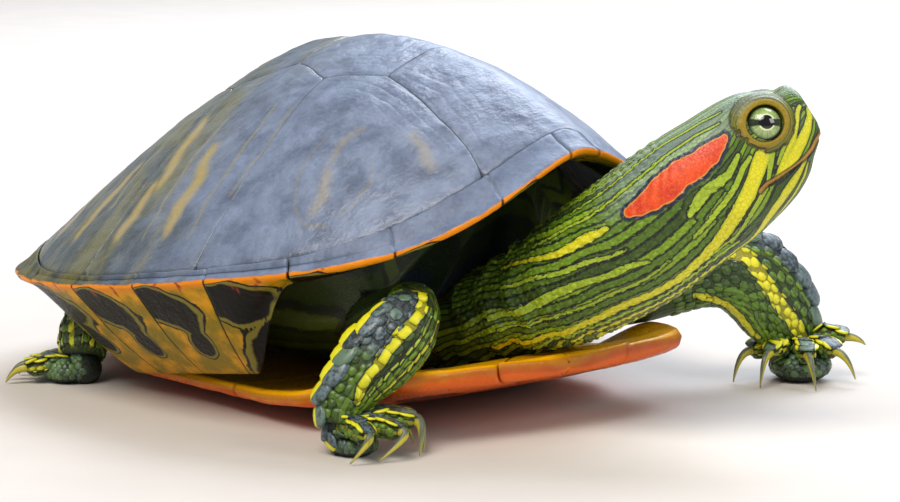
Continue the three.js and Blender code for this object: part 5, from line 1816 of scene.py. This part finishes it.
rimTones = tonesOf(yellow="da9a00", orange="e28600", deep="8a7404", black="050504", ring="7d7428",
                   tick="8f2f14")


def rimMaterial():
    # above: the shields' own colour; the edge orange; beneath: yellow with black blotches ringed in olive
    made, tree, shader = material("rim", IOR=1.3)
    c = rimTones
    horn = hornOn(tree)
    patchy, fine = objectNoise(tree, 240, 3), objectNoise(tree, 1500, 2)
    edge = loosened(markOf(tree, "across"), patchy, 1.2)
    spot = loosened(markOf(tree, "blotch"), fine, 0.05)
    under = blend(step(patchy, 0.4, 0.72), c["deep"], c["yellow"])
    under = blend(step(edge, -1.8, -0.3), under, c["orange"])
    under = blend(step(spot, 0.0, 0.03), under, c["black"])
    under = blend(step(spot, 0.07, 0.1), under, c["ring"])
    under = blend(step(spot, 0.18, 0.26), under, c["black"])
    under = blend(markOf(tree, "tick") * step(patchy, 0.45, 0.6), under, c["tick"])
    under = blend(step(markOf(tree, "nearSeam"), 0.1, 0.35, 0.9, 0.0), under, c["black"])
    colour = blend(step(edge, 0.25, 0.7), under, horn["Color"])
    finish(shader, colour, fine, (0.3, 0.45), horn["Height"], 0.0005, 0.7)
    return made


plastronTones = tonesOf(yellow="f4ae00", orange="de6000", brown="8c2e00", pink="e0905a", blotch="2a1c10")


def plastronMaterial():
    # yellow, going to orange and brown down the front edge and out to its sides, blotched beneath
    made, tree, shader = material("plastron", IOR=1.4)
    c = plastronTones
    patchy, fine = objectNoise(tree, 120, 4), objectNoise(tree, 900, 3)
    height = loosened(markOf(tree, "height"), patchy, 0.7)
    side = loosened(markOf(tree, "sideways"), patchy, 0.5)
    blotch = loosened(markOf(tree, "blotch"), patchy, 0.5)
    colour = blend(step(height, 0.12, 0.48), c["orange"], c["yellow"])
    front = step(markOf(tree, "forward"), 0.5, 0.8)
    colour = blend(step(side, 0.75, 1.0, 0.0, 0.75) * front, colour, c["brown"])
    colour = blend(step(fine, 0.62, 0.8, 0.0, 0.15), colour, c["pink"])
    lower = step(markOf(tree, "height"), 0.0, 0.25, 1.0, 0.0)
    colour = blend(step(blotch, 0.1, 0.3) * lower * 0.9, colour, c["blotch"])
    colour = blend(step(markOf(tree, "toEdge"), 0.05, 0.5, 0.6, 0.0), colour, c["brown"])
    finish(shader, colour, fine, (0.26, 0.45), fine + patchy * 0.6, 0.0003, 0.5)
    return made


eyeTones = tonesOf(
    pupil="040504", pupilRing="dfe6b0", iris="6f8f4a", irisPale="a9bf7a", bar="10140c", edge="141c0c",
    white="6d7340",
)


def eyeMaterial():
    # a round pupil with a pale ring, a green-yellow iris with fine rays and a dark bar along the eye
    made, tree, shader = material("eye", Roughness=0.08, IOR=1.4, Coat_Weight=1.0, Coat_Roughness=0.02)
    c = eyeTones
    fore, rise, deep = (markOf(tree, key) for key in ("fore", "rise", "deep"))
    away = calc("SQRT", fore * fore + rise * rise)
    around = {"W": calc("ARCTAN2", rise, fore) * 9.0, "Scale": 1.5, "Detail": 3.0}
    rays = put(tree, "TexNoise", around, noise_dimensions="1D")
    patchy = objectNoise(tree, 900, 3)
    iris = blend(step(rays + patchy, 0.8, 1.2), c["iris"], c["irisPale"])
    bar = step(calc("ABSOLUTE", loosened(rise, patchy, 0.5)) / (away * 0.08 + 0.5), 0.75, 1.15, 1.0, 0.0)
    iris = blend(bar * 0.93, iris, c["bar"])
    iris = blend(step(away, 2.2, 2.8), iris, c["edge"])
    iris = blend(step(away, 1.38, 1.52, 1.0, 0.0), iris, blend(bar, c["pupilRing"], c["bar"]))
    iris = blend(step(away, 1.15, 1.26, 1.0, 0.0), iris, c["pupil"])
    fill(shader, {"Base Color": blend(step(deep, 1.2, 1.7), c["white"], iris)})
    return made


clawTones = tonesOf(horn="5c6650", yellow="c0b430", tip="a8a060", dark="23261a")


def clawMaterial():
    # slate along the back, yellow down both sides, paler at the tip
    made, tree, shader = material("claw", IOR=1.5)
    c = clawTones
    grain = objectNoise(tree, 700, 3, 0.6, (1, 1, 0.3))
    colour = blend(step(loosened(markOf(tree, "flank"), grain, 0.5), 0.55, 0.9), c["horn"], c["yellow"])
    colour = blend(step(grain, 0.55, 0.8, 0.0, 0.5), colour, c["dark"])
    colour = blend(step(markOf(tree, "along"), 0.6, 1.0, 0.0, 0.6), colour, c["tip"])
    finish(shader, colour, grain, (0.3, 0.5), grain, 0.0001, 0.6)
    return made


def finished(pieces, made):
    for piece in pieces:
        piece.data.materials.clear()
        piece.data.materials.append(made)
        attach(piece, "root")


finished([skin], skinMaterial())
finished(coat, scaleMaterial())
finished(shields, carapaceMaterial())
finished(rimPieces, rimMaterial())
finished(plastronPieces, plastronMaterial())
finished(eyes, eyeMaterial())
finished(claws, clawMaterial())
fleshNodes = [
    "head", "lower_jaw", "neck", "trunk", "tail",
    "foreleg_right", "foreleg_left", "hindleg_right", "hindleg_left",
    "forefoot_right", "forefoot_left", "hindfoot_right", "hindfoot_left",
]
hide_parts(*fleshNodes)
for piece in [*shields, *rimPieces, *plastronPieces, *eyes, *claws]:
    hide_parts(piece.name.rsplit("_", 1)[0])  # the node is named like the piece, without its last word


# Floor, light and camera, in metres

stage = {
    "floorSize": 14.0, "floorTones": ("c7c1ba", "d3cdc6"),
    "camera": (0.396506, -0.326282, 0.102109), "target": (-0.000809, 0.004632, 0.024936), "lens": 109.165,
    # name: place, size, power, colour; each points at the middle of the animal
    "lights": {
        "key": ((0.15, -0.75, 1.0), 0.7, 7, "fff6ea"),
        "sky": ((-0.45, 0.9, 1.1), 1.2, 30, "e8f0ff"),
        "nose": ((0.95, 0.35, 0.55), 0.5, 3.5, "ffffff"),
    },
    "middle": (0.02, 0, 0.03),
    "sun": ((0.25, -0.6, 1.0), 0.6, 1.5, "fff8f0"),  # place, how wide it looks, power, colour
    "world": ("ccd0d6", 0.42),
}


def placed(name, data, place, target):
    # an object looking from one place at another
    piece = bpy.data.objects.new(name, data)
    bpy.context.scene.collection.objects.link(piece)
    piece.location = place
    piece.rotation_euler = (Vector(target) - Vector(place)).to_track_quat("-Z", "Y").to_euler()
    return piece


def buildStage():
    half = stage["floorSize"] / 2
    mesh = bpy.data.meshes.new("floor")
    mesh.from_pydata([(-half, -half, 0), (half, -half, 0), (half, half, 0), (-half, half, 0)], [],
                     [(0, 1, 2, 3)])
    floor = bpy.data.objects.new("floor", mesh)
    bpy.context.scene.collection.objects.link(floor)
    made, tree, shader = material("floor", Roughness=0.8)
    fill(shader, {"Base Color": blend(objectNoise(tree, 40, 4), *map(tone, stage["floorTones"]))})
    mesh.materials.append(made)
    for name, (place, size, power, colour) in stage["lights"].items():
        light = bpy.data.lights.new(name, "AREA")
        light.size, light.energy, light.color = size, power, tone(colour)[:3]
        placed(name, light, place, stage["middle"])
    place, size, power, colour = stage["sun"]
    light = bpy.data.lights.new("sun", "SUN")
    light.angle, light.energy, light.color = size, power, tone(colour)[:3]
    placed("sun", light, place, (0, 0, 0))
    world = bpy.data.worlds.new("studio")
    world.use_nodes = True
    colour, power = stage["world"]
    fill(world.node_tree.nodes["Background"], {0: tone(colour), 1: power})
    bpy.context.scene.world = world
    camera = bpy.data.cameras.new("camera")
    camera.lens, camera.sensor_width = stage["lens"], 36
    bpy.context.scene.camera = placed("camera", camera, stage["camera"], stage["target"])
    bpy.context.scene.view_settings.view_transform = "Standard"


buildStage()
print("stage ready")
